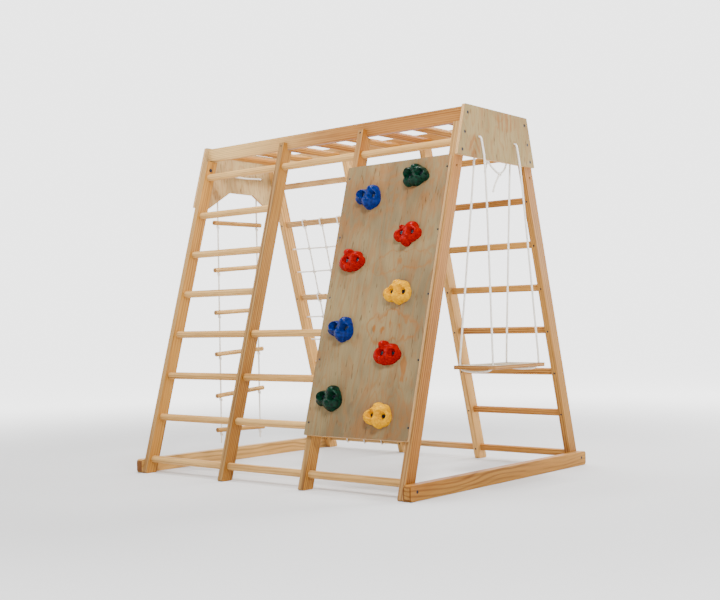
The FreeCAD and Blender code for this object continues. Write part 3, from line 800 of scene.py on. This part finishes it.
@dataclass
class Timber:
    """The pine posts, beams, bars and rungs, which keep their CAD shapes."""

    levels: int = 8
    monkey_bars: int = 8
    base_bar_middle: float = 0.7188
    base_bar_height: float = 0.06

    def build(self) -> None:
        """Dress every pine board."""
        pale = {"early": srgb(222, 178, 110), "middle": srgb(198, 148, 80)}
        # Each front post has its own brightness; the middle-left post's lower tone is painted shade.
        posts = {"left": 0.88, "mid_left": 0.7, "mid_right": 0.84, "right": 0.9}
        for number, (post, tone) in enumerate(posts.items()):
            pith = (0.31 - 0.11 * number, 0.17)
            front = Pine(f"pine_front_post_{post}", Grain.FRONT_POST, tone, front_light_share=0.4, pith=pith)
            dress([f"front_post_{post}"], front.material())
            back = Pine(f"pine_back_post_{post}", Grain.BACK_POST, 0.85, pith=pith)
            # Back posts other than the right one are brighter and paler, as painted light on their strongly
            # lit faces.
            if post != "right":
                back = replace(back, tone=1.18, contrast=0.5, **pale)
            dress([f"back_post_{post}"], back.material())
        # The beam's left end is blended pale as painted light from the left.
        beam = Pine("pine_beam", Grain.ALONG_X, 1.15, early=srgb(172, 116, 46), middle=srgb(152, 92, 30),
                    painted_light=srgb(240, 204, 136), light_fade=(-0.75, 0.15))
        dress(["front_beam", "back_beam"], beam.material())
        rows = range(1, self.levels + 1)
        dowel = Pine("pine_dowel", Grain.ALONG_X, 1.1, contrast=0.4, **pale)
        dress([f"front_dowel_row_{row}" for row in rows], dowel.material())
        # The back bars are blended paler towards their left ends as painted light.
        back_bar = Pine("pine_back_bar", Grain.ALONG_X, 0.98, painted_light=srgb(222, 184, 126), light_fade=(-0.25, 0.3))
        dress([f"back_bar_row_{row}" for row in rows], back_bar.material())
        crosswise = Pine("pine_monkey_bar", Grain.ALONG_Y, pith=(-0.04, 0.27), wander=0.05)
        dress([f"monkey_bar_{bar}" for bar in range(1, self.monkey_bars + 1)], crosswise.material())
        dress(["ladder_rungs"], replace(crosswise, name="pine_rung", contrast=0.5, **pale).material())
        for middle, name in ((self.base_bar_middle, "right"), (-self.base_bar_middle, "left")):
            base_bar = Pine(f"pine_base_{name}", Grain.ALONG_Y, 0.85, pith=(middle, -0.075), ring=0.017,
                            wander=0.1, stretch=0.35, contrast=0.5, heart=(middle, -self.base_bar_height / 2))
            # The left base bar is paler, as painted light on its brightly lit faces.
            if middle < 0:
                base_bar = replace(base_bar, tone=1.0, **pale)
            dress([f"base_bar_{name}"], base_bar.material())
        log.info("timber dressed")


@dataclass
class Boards:
    """The plywood boards, which keep their CAD shapes."""

    thickness: float = 0.015
    frame_length: float = 1.46
    seat_top: float = 0.471
    right_marks: tuple[Mark, ...] = (
        Mark(-0.06, 1.45, 0.095, 0.05, stripes=19.0), Mark(0.168, 1.33, 0.055, 0.055, chevrons=6.5),
    )
    climbing_marks: tuple[Mark, ...] = (
        Mark(0.53, 0.905, 0.17, 0.055, contours=5.0, strength=0.6),
        Mark(0.53, 0.645, 0.13, 0.08, contours=5.0, strength=0.85),
        Mark(0.62, 0.50, 0.06, 0.15, contours=4.0, strength=0.65),
        # Two plain grey-brown darker patches.
        Mark(0.405, 0.631, 0.045, 0.045, strength=0.6, tint=srgb(104, 88, 66)),
        Mark(0.422, 0.323, 0.045, 0.045, strength=0.55, tint=srgb(104, 88, 66)),
    )

    def build(self) -> None:
        """Dress the end panels, the climbing panel and the swing's seat."""
        half = self.thickness / 2
        quarter = math.pi / 2
        right = self.frame_length + half - ORIGIN_SHIFT
        left = -half - ORIGIN_SHIFT
        panel = Plywood("plywood_right_end", (0, 0, quarter), (0, -right, 0), self.right_marks,
                        pale=srgb(166, 144, 98), grey=srgb(144, 122, 80))
        dress(["end_panel_right"], panel.material())
        # The left end panel has a paler palette than the others, as painted light on its lit inner face.
        panel = Plywood("plywood_left_end", (0, 0, quarter), (0, -left, 0), pale=srgb(200, 172, 122),
                        grey=srgb(176, 146, 98))
        dress(["end_panel_left"], panel.material())
        shift = (0, FOOT_HALF_DEPTH * math.cos(LEAN) + half, FOOT_HALF_DEPTH * math.sin(LEAN))
        panel = Plywood("plywood_climbing", (LEAN, 0, 0), shift, self.climbing_marks)
        dress(["climbing_panel"], panel.material())
        seat = Plywood("plywood_seat", (quarter, 0, 0), (0, self.seat_top - half, 0), plies=3,
                       core=srgb(190, 138, 78), flame=srgb(128, 76, 34), glue=srgb(50, 28, 14),
                       pale=srgb(216, 200, 168))
        dress(["swing_seat"], seat.material())
        log.info("boards dressed")


@dataclass
class Fasteners:
    """The screws, bolts and nuts, which keep their CAD shapes."""

    nodes: tuple[str, ...] = ("frame_screws", "end_panel_bolts", "base_bar_bolts", "climbing_panel_screws",
                              "hold_bolts")

    def build(self) -> None:
        """Dress them."""
        dress(self.nodes, Zinc("zinc").material())
        log.info("fasteners dressed")


class HoldForm(Enum):
    """The lobes of each kind of hold: across, up, radius and rise, as shares of the hold's width."""

    LOBED = ((-0.44, -0.15, 0.18, 0.32), (0.08, 0.20, 0.24, 0.41), (0.05, -0.21, 0.30, 0.44),
             (-0.31, -0.02, 0.28, 0.44), (0.12, 0.06, 0.30, 0.37), (0.20, -0.13, 0.29, 0.38))
    CHUNKY = ((-0.29, 0.10, 0.28, 0.45), (-0.05, 0.24, 0.21, 0.42), (0.12, 0.02, 0.30, 0.40),
              (-0.38, -0.16, 0.21, 0.32), (-0.11, -0.07, 0.31, 0.36), (0.31, -0.07, 0.18, 0.34))
    CORNER = ((-0.31, 0.30, 0.19, 0.36), (0.08, 0.12, 0.26, 0.38), (-0.37, -0.04, 0.33, 0.33),
              (0.08, -0.10, 0.26, 0.36), (0.25, -0.01, 0.22, 0.42), (-0.20, -0.19, 0.22, 0.34))
    NUBBED = ((-0.35, 0.24, 0.10, 0.24), (0.08, 0.14, 0.30, 0.34), (-0.41, -0.06, 0.24, 0.31),
              (-0.07, -0.30, 0.19, 0.40), (0.31, -0.01, 0.22, 0.36), (0.13, -0.10, 0.24, 0.39))
    ROUNDED = ((-0.39, -0.06, 0.28, 0.38), (-0.12, 0.30, 0.18, 0.38), (0.09, 0.15, 0.29, 0.46),
               (0.14, -0.02, 0.33, 0.36), (0.00, -0.17, 0.25, 0.43), (-0.14, 0.06, 0.30, 0.46))


@dataclass
class HoldModel:
    """One kind of cast hold, modelled at the origin with its front towards -Y."""

    form: HoldForm
    width: float = 0.102
    bolts: tuple[tuple[float, float], ...] = ((-0.26, 0.0), (0.26, 0.0))
    middle_filler: tuple[float, ...] = (-0.03, -0.01, 0.37, 0.33)
    bolt_filler: tuple[float, float] = (0.2, 0.3)
    recess_radius: float = 0.0078
    dimple_radius: float = 0.027
    dimple_depth: float = 0.042
    recess_floor: float = 0.0139
    voxel: float = 0.0017
    fine_voxel: float = 0.001275
    swell: float = 1.07
    first_relax: tuple[float, int] = (0.7, 14)
    last_relax: tuple[float, int] = (0.5, 3)
    lump_size: float = 0.26
    lump_height: float = -0.025
    lump_level: float = 0.4

    def build(self) -> Piece:
        """Model the hold.

        Returns:
            The hold, smooth all over.
        """
        piece = self._lump()
        self._cut_recesses(piece)
        self._skin(piece, self.fine_voxel, self.last_relax)
        bpy.ops.object.shade_smooth()
        return piece

    def _lump(self) -> Piece:
        """Blend the lobes into one body with a flat back.

        Returns:
            The body.
        """
        lobes = []
        fillers = (self.middle_filler, *((*bolt, *self.bolt_filler) for bolt in self.bolts))
        size = self.width * self.swell
        for across, up, radius, rise in self.form.value + fillers:
            only()
            bpy.ops.mesh.primitive_uv_sphere_add(segments=28, ring_count=18, radius=size,
                                                 location=(across * size, 0, up * size))
            lobe = bpy.context.active_object
            bpy.ops.object.mode_set(mode="EDIT")
            bpy.ops.mesh.select_all(action="SELECT")
            bpy.ops.transform.resize(value=(radius, rise, radius))
            bpy.ops.object.mode_set(mode="OBJECT")
            lobes.append(lobe)
        piece = joined(lobes, f"model_{self.form.name.lower()}")
        bpy.ops.object.transform_apply(location=True, rotation=True, scale=True)
        self._skin(piece, self.voxel, self.first_relax)
        grain = bpy.data.textures.new("hold_lumps", "VORONOI")
        grain.noise_scale = self.lump_size * self.width
        height = self.lump_height * self.width
        modified(piece, "DISPLACE", texture=grain, strength=height, mid_level=self.lump_level)
        bpy.ops.object.mode_set(mode="EDIT")
        bpy.ops.mesh.select_all(action="SELECT")
        bpy.ops.mesh.bisect(plane_co=(0, 0, 0), plane_no=(0, 1, 0), use_fill=True, clear_outer=True)
        bpy.ops.object.mode_set(mode="OBJECT")
        return piece

    def _cut_recesses(self, piece: Piece) -> None:
        """Sink the recesses of the two bolts.

        Args:
            piece: The body to cut.
        """
        for across, up in self.bolts:
            only()
            bpy.ops.mesh.primitive_cone_add(
                vertices=32, radius1=self.recess_radius, radius2=self.dimple_radius, depth=self.dimple_depth,
                location=(across * self.width, -self.recess_floor - self.dimple_depth / 2, up * self.width),
                rotation=(math.pi / 2, 0, 0))
            drill = bpy.context.active_object
            modified(piece, "BOOLEAN", operation="DIFFERENCE", object=drill)
            bpy.data.objects.remove(drill)

    def _skin(self, piece: Piece, voxel: float, relax: tuple[float, int]) -> None:
        """Rebuild the skin from voxels of this size, and relax it by so much, so often."""
        modified(piece, "REMESH", mode="VOXEL", voxel_size=voxel)
        modified(piece, "SMOOTH", factor=relax[0], iterations=relax[1])


@dataclass(frozen=True)
class Hold:
    """Where a hold stands, in shares of the panel from its middle and its lower edge, and its turn."""

    node: str
    form: HoldForm
    across: float
    along: float
    turn: float


@dataclass
class ClimbingHolds:
    """The nine holds on the climbing panel."""

    panel_left: float = 0.94
    panel_right: float = 1.451
    panel_low: float = 0.216
    panel_top: float = 1.332
    face: float = 0.0151
    holds: tuple[Hold, ...] = (
        Hold("hold_green_upper", HoldForm.CHUNKY, 0.2333, 0.9313, -5.0),
        Hold("hold_blue_upper", HoldForm.LOBED, -0.2058, 0.8733, 7.0),
        Hold("hold_red_upper", HoldForm.NUBBED, 0.2360, 0.7194, 0.0),
        Hold("hold_red_middle", HoldForm.CORNER, -0.2598, 0.6304, 0.0),
        Hold("hold_yellow_upper", HoldForm.ROUNDED, 0.2372, 0.5056, 1.5),
        Hold("hold_blue_lower", HoldForm.LOBED, -0.2650, 0.3831, 6.5),
        Hold("hold_red_lower", HoldForm.CORNER, 0.2316, 0.2906, 0.0),
        Hold("hold_green_lower", HoldForm.LOBED, -0.2706, 0.1353, -1.5),
        Hold("hold_yellow_lower", HoldForm.ROUNDED, 0.2310, 0.0769, 4.0),
    )

    def build(self) -> None:
        """Model each kind of hold once, and set a copy in its colour at every place."""
        resins = {
            "green": CastResin("resin_green", (0.002, 0.034, 0.016), (0.001, 0.010, 0.005)).material(),
            "blue": CastResin("resin_blue", (0.001, 0.022, 0.19), (0.001, 0.010, 0.08)).material(),
            "red": CastResin("resin_red", (0.38, 0.002, 0.0005), (0.22, 0.001, 0.0005), 0.04).material(),
            "yellow": CastResin("resin_yellow", (0.86, 0.42, 0.0), (0.62, 0.26, 0.0), 0.04).material(),
        }
        models = {form: HoldModel(form).build() for form in HoldForm}
        for hold in self.holds:
            colour = hold.node.split("_")[1]
            self._set(hold, models[hold.form], resins[colour])
        for model in models.values():
            bpy.data.meshes.remove(model.data)

    def _set(self, hold: Hold, model: Piece, resin: Material) -> None:
        """Set a copy of a model on the panel.

        Args:
            hold: Where it stands.
            model: The model of its kind.
            resin: Its material.
        """
        piece = model.copy()
        piece.data = model.data.copy()
        piece.name = hold.node.replace("hold_", "climbing_hold_")
        bpy.context.scene.collection.objects.link(piece)
        middle = (self.panel_left + self.panel_right) / 2
        across = middle + hold.across * (self.panel_right - self.panel_left)
        along = self.panel_low + hold.along * (self.panel_top - self.panel_low)
        turn = Matrix.Rotation(-LEAN, 4, "X") @ Matrix.Rotation(math.radians(hold.turn), 4, "Y")
        piece.data.transform(Matrix.Translation(front_place(across, -self.face, along)) @ turn)
        finished(piece, resin, FRAME_BODY)
        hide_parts(hold.node)


@dataclass
class RopeNet:
    """The climbing net between the two left back posts, tied to three of their bars."""

    cotton: Material
    left: float = 0.0286
    right: float = 0.4855
    post_width: float = 0.0286
    middle_depth: float = 0.029
    columns: tuple[float, ...] = (0.1428, 0.2571, 0.3713)
    rows: tuple[float, ...] = (1.078, 0.959, 0.721, 0.602, 0.483, 0.364, 0.245, 0.126)
    bars: tuple[float, ...] = (1.206, 0.825, 0.063)
    bar_half_height: float = 0.014
    bar_half_depth: float = 0.009
    rope: float = 0.0037
    knot_out: float = 0.0075
    rope_end: float = 0.0165
    sway: float = 0.0022
    hole_edge: float = 0.002
    turn_round: float = 0.006
    spacing: float = 0.006
    sides: int = 10
    stopper_turns: float = 1.7
    hitch_turns: float = 1.3
    hitch_out: float = 1.2

    def build(self) -> None:
        """Model the net as one piece."""
        parts = []
        for number, along in enumerate(self.rows):
            parts += self._row(number, along)
        for number, across in enumerate(self.columns):
            parts += self._column(number, across)
        net = joined(parts, "climbing_net")
        finished(net, self.cotton, FRAME_BODY)
        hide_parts("rope_net")

    def _up(self) -> Vector:
        """The way up along the leaning back posts."""
        return (back_place(0, 0, 1) - back_place(0, 0, 0)).normalized()

    def _sway(self, number: int, place: int) -> float:
        """How far a point of a rope hangs off its straight line."""
        return self.sway * math.sin(2.3 * number + 1.7 * place)

    def _row(self, number: int, along: float) -> list[Piece]:
        """A level rope with a stopper knot outside each post.

        Args:
            number: The row's number.
            along: Its distance from the feet along the posts.

        Returns:
            The rope and its knots.
        """
        outer = self.right + self.post_width
        places = [-self.rope_end, self.left - self.hole_edge, *self.columns, self.right + self.hole_edge,
                  outer + self.rope_end]
        route = []
        for place, across in enumerate(places):
            drop = self._sway(number, place) if across in self.columns else 0.0
            route.append(back_place(across, self.middle_depth, along + drop))
        parts = [rope_tube("row", route_points(route, self.spacing), self.rope, self.sides)]
        way = Vector((1, 0, 0))
        for across in (-self.knot_out, outer + self.knot_out):
            middle = back_place(across, self.middle_depth, along)
            parts.append(barrel_knot("stopper", middle, way, self.rope, self.stopper_turns))
        up = self._up()
        for place, across in enumerate(self.columns):
            middle = back_place(across, self.middle_depth, along + self._sway(number, place + 2) * 0.5)
            parts.append(crossing_knot("crossing", middle, way, up, self.rope))
        return parts

    def _column(self, number: int, across: float) -> list[Piece]:
        """A rope from the top bar to the bottom bar, with a turn around each bar.

        Args:
            number: The column's number.
            across: Its distance from the left posts' outer faces.

        Returns:
            The rope's runs, turns and knots.
        """
        parts = []
        up = self._up()
        reach = self.bar_half_height + self.rope
        for upper, lower in zip(self.bars, self.bars[1:]):
            stops = [upper - reach] + [row for row in self.rows if lower < row < upper] + [lower + reach]
            route = []
            for place, along in enumerate(stops):
                side = self._sway(number + 5, place) if 0 < place < len(stops) - 1 else 0.0
                route.append(back_place(across + side, self.middle_depth, along))
            parts.append(rope_tube("column", route_points(route, self.spacing), self.rope, self.sides))
        for index, along in enumerate(self.bars):
            parts.append(self._bar_turn(across, along))
            for direction in (1, -1):
                if (index == 0 and direction > 0) or (index == len(self.bars) - 1 and direction < 0):
                    continue
                out = direction * (reach + self.rope * self.hitch_out)
                middle = back_place(across, self.middle_depth, along + out)
                parts.append(barrel_knot("hitch", middle, up, self.rope, self.hitch_turns))
        return parts

    def _bar_turn(self, across: float, along: float) -> Piece:
        """A turn of rope around a bar.

        Args:
            across: Its distance from the left posts' outer faces.
            along: The bar's distance from the feet.

        Returns:
            The turn.
        """
        tall, deep = self.bar_half_height + self.rope, self.bar_half_depth + self.rope
        points = []
        for corner, (side, end) in enumerate(((1, 1), (-1, 1), (-1, -1), (1, -1))):
            for step in range(5):
                angle = math.pi / 2 * (corner + step / 4)
                inward = side * (deep - self.turn_round) + self.turn_round * math.cos(angle)
                rise = end * (tall - self.turn_round) + self.turn_round * math.sin(angle)
                points.append(back_place(across, self.middle_depth + inward, along + rise))
        return rope_tube("turn", points, self.rope, self.sides, closed=True)


@dataclass
class Swing:
    """The swing's two rope loops through the end panel, and the rope that ties them behind it."""

    cotton: Material
    rope: float = 0.004
    spacing: float = 0.005
    tie_spacing: float = 0.004
    knot_turns: float = 1.6
    loop: tuple[Place, ...] = (
        (0.69525, 0.130, 1.351), (0.69645, 0.130, 1.371), (0.72275, 0.130, 1.371), (0.7275, 0.130, 1.345),
        (0.74205, 0.130, 1.262), (0.7824, 0.1674, 0.543), (0.78525, 0.170, 0.493), (0.78525, 0.170, 0.4504),
        (0.70825, 0.170, 0.4444), (0.63125, 0.170, 0.4504), (0.63125, 0.170, 0.493), (0.6350, 0.1674, 0.543),
        (0.68885, 0.130, 1.262), (0.69285, 0.130, 1.337),
    )
    loop_knot: Place = (0.69405, 0.130, 1.344)
    tie: tuple[Place, ...] = (
        (0.68675, 0.134, 1.350), (0.68475, 0.118, 1.312), (0.68475, 0.104, 1.270), (0.68475, 0.060, 1.240),
        (0.68475, 0.014, 1.258), (0.68475, -0.034, 1.290), (0.68475, -0.086, 1.322), (0.68675, -0.134, 1.356),
    )
    long_tail: tuple[Place, ...] = (
        (0.68475, 0.060, 1.243), (0.68475, 0.022, 1.204), (0.68475, 0.008, 1.166),
    )
    short_tail: tuple[Place, ...] = (
        (0.68475, -0.030, 1.286), (0.68475, -0.042, 1.262), (0.68475, -0.050, 1.240),
    )

    def build(self) -> None:
        """Model the loops, the tie rope and its tails."""
        for side, word in ((-1, "front"), (1, "back")):
            self._loop(side, word)
        self._tie()

    def _loop(self, side: int, word: str) -> None:
        """One loop: from its knot behind the panel, through the hole, under the seat and back.

        Args:
            side: -1 for the front, 1 for the back.
            word: The side's name.
        """
        points = route_points([Vector((x, side * y, z)) for x, y, z in self.loop], self.spacing)
        loop = rope_tube(f"swing_rope_{word}", points, self.rope)
        finished(loop, self.cotton, None)
        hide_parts("swing_ropes")
        x, y, z = self.loop_knot
        place, way = Vector((x, side * y, z)), Vector((0.1, 0, 1))
        knot = barrel_knot(f"swing_rope_knot_{word}", place, way, self.rope, self.knot_turns)
        finished(knot, self.cotton, FRAME_BODY)
        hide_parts("swing_top_ropes")
        line_length(points)
        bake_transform(loop)

    def _tie(self) -> None:
        """The rope that ties the loops behind the panel, and its two tails."""
        parts = (("swing_tie_rope", self.tie, "object"), ("swing_tie_long_tail", self.long_tail, "bare"),
                 ("swing_tie_short_tail", self.short_tail, "bare"))
        for name, places, far_end in parts:
            points = route_points([Vector(place) for place in places], self.tie_spacing)
            piece = rope_tube(name, points, self.rope)
            finished(piece, self.cotton, FRAME_BODY)
            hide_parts("swing_top_ropes")
            if far_end == "bare":
                way = points[3] - points[0]
                knot = barrel_knot(name + "_knot", points[0], way, self.rope, self.knot_turns)
                finished(knot, self.cotton, FRAME_BODY)
                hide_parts("swing_top_ropes")
            line_length(points)


@dataclass
class RopeLadder:
    """The rope ladder's ropes: out of the left end panel, down through the rungs, knotted below each."""

    cotton: Material
    rope: float = 0.004
    spacing: float = 0.005
    span_spacing: float = 0.004
    knot_turns: float = 1.7
    hole_y: float = 0.130
    strand_x: float = -0.79425
    strand: tuple[Place, ...] = (
        (-0.76675, 0.130, 1.371), (-0.79425, 0.130, 1.371), (-0.79425, 0.130, 1.3435),
    )
    span: tuple[Place, ...] = (
        (-0.76675, -0.130, 1.371), (-0.75495, -0.130, 1.371), (-0.75495, -0.118, 1.371),
        (-0.75495, 0.0, 1.364), (-0.75495, 0.118, 1.371), (-0.75495, 0.130, 1.371), (-0.76675, 0.130, 1.371),
    )
    rung_radius: float = 0.011
    knot_radius: float = 0.0085
    knot_gap: float = 0.0003
    first_rung: float = 1.144
    last_rung: float = 0.145
    drops: tuple[float, ...] = (0.0, 0.217, 0.426, 0.624, 0.821, 1.0)
    tilts: tuple[float, ...] = (1.0, 5.0, 3.0, 3.6, 4.5, -1.3)
    tails: tuple[float, float] = (0.042, 0.030)

    def build(self) -> None:
        """Model the two hanging ropes with their knots, and the span between the holes."""
        for side, word, tail in ((-1, "front", self.tails[0]), (1, "back", self.tails[1])):
            self._strand(side, word, tail)
        self._span()

    def _knot_heights(self, side: int) -> list[float]:
        """Heights of the knots that carry the rungs.

        Args:
            side: -1 for the front rope, 1 for the back one.

        Returns:
            The heights, from the top down.
        """
        heights = []
        for drop, tilt in zip(self.drops, self.tilts):
            middle = self.first_rung - drop * (self.first_rung - self.last_rung)
            slope = math.radians(tilt)
            rest = (self.rung_radius + self.knot_radius + self.knot_gap) / math.cos(slope)
            heights.append(middle + side * self.hole_y * math.tan(slope) - rest)
        return heights

    def _strand(self, side: int, word: str, tail: float) -> None:
        """One hanging rope with a knot under each rung.

        Args:
            side: -1 for the front rope, 1 for the back one.
            word: The side's name.
            tail: Length of rope below the last knot.
        """
        hole = side * self.hole_y
        heights = self._knot_heights(side)
        places = [(x, side * y, z) for x, y, z in self.strand] + [(self.strand_x, hole, heights[-1] - tail)]
        points = route_points([Vector(place) for place in places], self.spacing)
        strand = rope_tube(f"ladder_rope_{word}", points, self.rope)
        finished(strand, self.cotton, None)
        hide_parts("ladder_ropes")
        knots = []
        for number, height in enumerate(heights):
            place = Vector((self.strand_x, hole, height))
            knots.append(barrel_knot(f"knot_{number}", place, Vector((0, 0, 1)), self.rope, self.knot_turns))
        knotted = joined(knots, f"ladder_knots_{word}")
        finished(knotted, self.cotton, "rope_ladder")
        line_length(points)
        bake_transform(strand)

    def _span(self) -> None:
        """The rope between the two holes, on the panel's inner side."""
        points = route_points([Vector(place) for place in self.span], self.span_spacing)
        span = rope_tube("ladder_rope_span", points, self.rope)
        finished(span, self.cotton, FRAME_BODY)
        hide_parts("ladder_top_rope")
        line_length(points)


@dataclass
class Studio:
    """The camera at the photograph's angle, a pale floor and soft lights."""

    camera_place: Place = (3.12745, -3.7614, 0.6293)
    yaw: float = 0.696
    pitch: float = 0.003
    roll: float = -0.018
    lens: float = 55.125
    shift: tuple[float, float] = (-0.0019, 0.0330)
    sensor: float = 36.0
    reach: float = 60.0
    floor_size: float = 40.0
    surround: float = 0.15
    wall: float = 3.2
    aim: Place = (0.0, 0.0, 0.7)
    lights: tuple[tuple[str, Place, float, float], ...] = (
        ("key_light", (3.0, -2.9, 4.2), 0.8, 275.0),
        ("left_light", (-2.9, -3.0, 3.0), 1.0, 60.0),
        ("top_light", (0.0, 0.0, 5.0), 1.6, 260.0),
        ("back_light", (1.2, 4.2, 4.4), 2.4, 260.0),
        ("rim_light", (2.2, 2.4, 1.2), 0.8, 46.0),
    )

    def build(self) -> None:
        """Set the camera, the floor and the lights."""
        self._camera()
        self._floor()
        self._world()
        for light in self.lights:
            self._area(*light)
        log.info("studio ready")

    def _camera(self) -> None:
        """Create the camera from its place, its turns and its lens."""
        data = bpy.data.cameras.new("camera")
        data.sensor_width = self.sensor
        data.sensor_fit = "HORIZONTAL"
        data.lens = self.lens
        data.shift_x, data.shift_y = self.shift
        data.clip_end = self.reach
        camera = bpy.data.objects.new("camera", data)
        bpy.context.scene.collection.objects.link(camera)
        flat = math.cos(self.pitch)
        ahead = Vector((-math.sin(self.yaw) * flat, math.cos(self.yaw) * flat, math.sin(self.pitch)))
        level = Vector((math.cos(self.yaw), math.sin(self.yaw), 0.0))
        above = level.cross(ahead)
        right = level * math.cos(self.roll) + above * math.sin(self.roll)
        up = above * math.cos(self.roll) - level * math.sin(self.roll)
        turn = Matrix((right, up, -ahead)).transposed()
        camera.matrix_world = Matrix.Translation(Vector(self.camera_place)) @ turn.to_4x4()
        bpy.context.scene.camera = camera

    def _floor(self) -> None:
        """Lay the floor."""
        only()
        bpy.ops.mesh.primitive_plane_add(size=self.floor_size, location=(0, 0, 0))
        floor = bpy.context.active_object
        floor.name = "studio_floor"
        floor.data.materials.append(StudioFloor("studio_floor").material())

    def _world(self) -> None:
        """Light everything from a white surround, brighter behind the object."""
        world = bpy.data.worlds.new("surround")
        shader = Shader(world)
        x, y, z = shader.axes(shader.coordinates("Generated"))
        behind = (y * 0.77 - x * 0.64).between(0.05, 0.7)
        low = 1 - z.between(0.35, 0.8)
        strength = behind * low * self.wall + self.surround
        background = shader.node("ShaderNodeBackground", {}, {"Color": (1, 1, 1), "Strength": strength})
        shader.node("ShaderNodeOutputWorld", {}, {"Surface": background.outputs[0]})
        bpy.context.scene.world = world

    def _area(self, name: str, place: Place, size: float, power: float) -> None:
        """Hang a soft light that faces the middle of the jungle gym.

        Args:
            name: The light's name.
            place: Where it hangs.
            size: Its width and height.
            power: Its power in watts.
        """
        data = bpy.data.lights.new(name, "AREA")
        data.shape = "SQUARE"
        data.size = size
        data.energy = power
        light = bpy.data.objects.new(name, data)
        light.location = place
        light.rotation_euler = (Vector(self.aim) - Vector(place)).to_track_quat("-Z", "Y").to_euler()
        bpy.context.scene.collection.objects.link(light)


def main() -> None:
    """Build the dressed jungle gym."""
    logging.basicConfig(level=logging.INFO, format="%(name)s: %(message)s")
    Studio().build()
    braided = Cotton("cotton_braided", Lay.BRAIDED).material()
    twisted = Cotton("cotton_twisted", Lay.TWISTED).material()
    Swing(braided).build()
    RopeLadder(braided).build()
    RopeNet(twisted).build()
    Timber().build()
    Boards().build()
    Fasteners().build()
    ClimbingHolds().build()


if __name__ == "__main__":
    main()
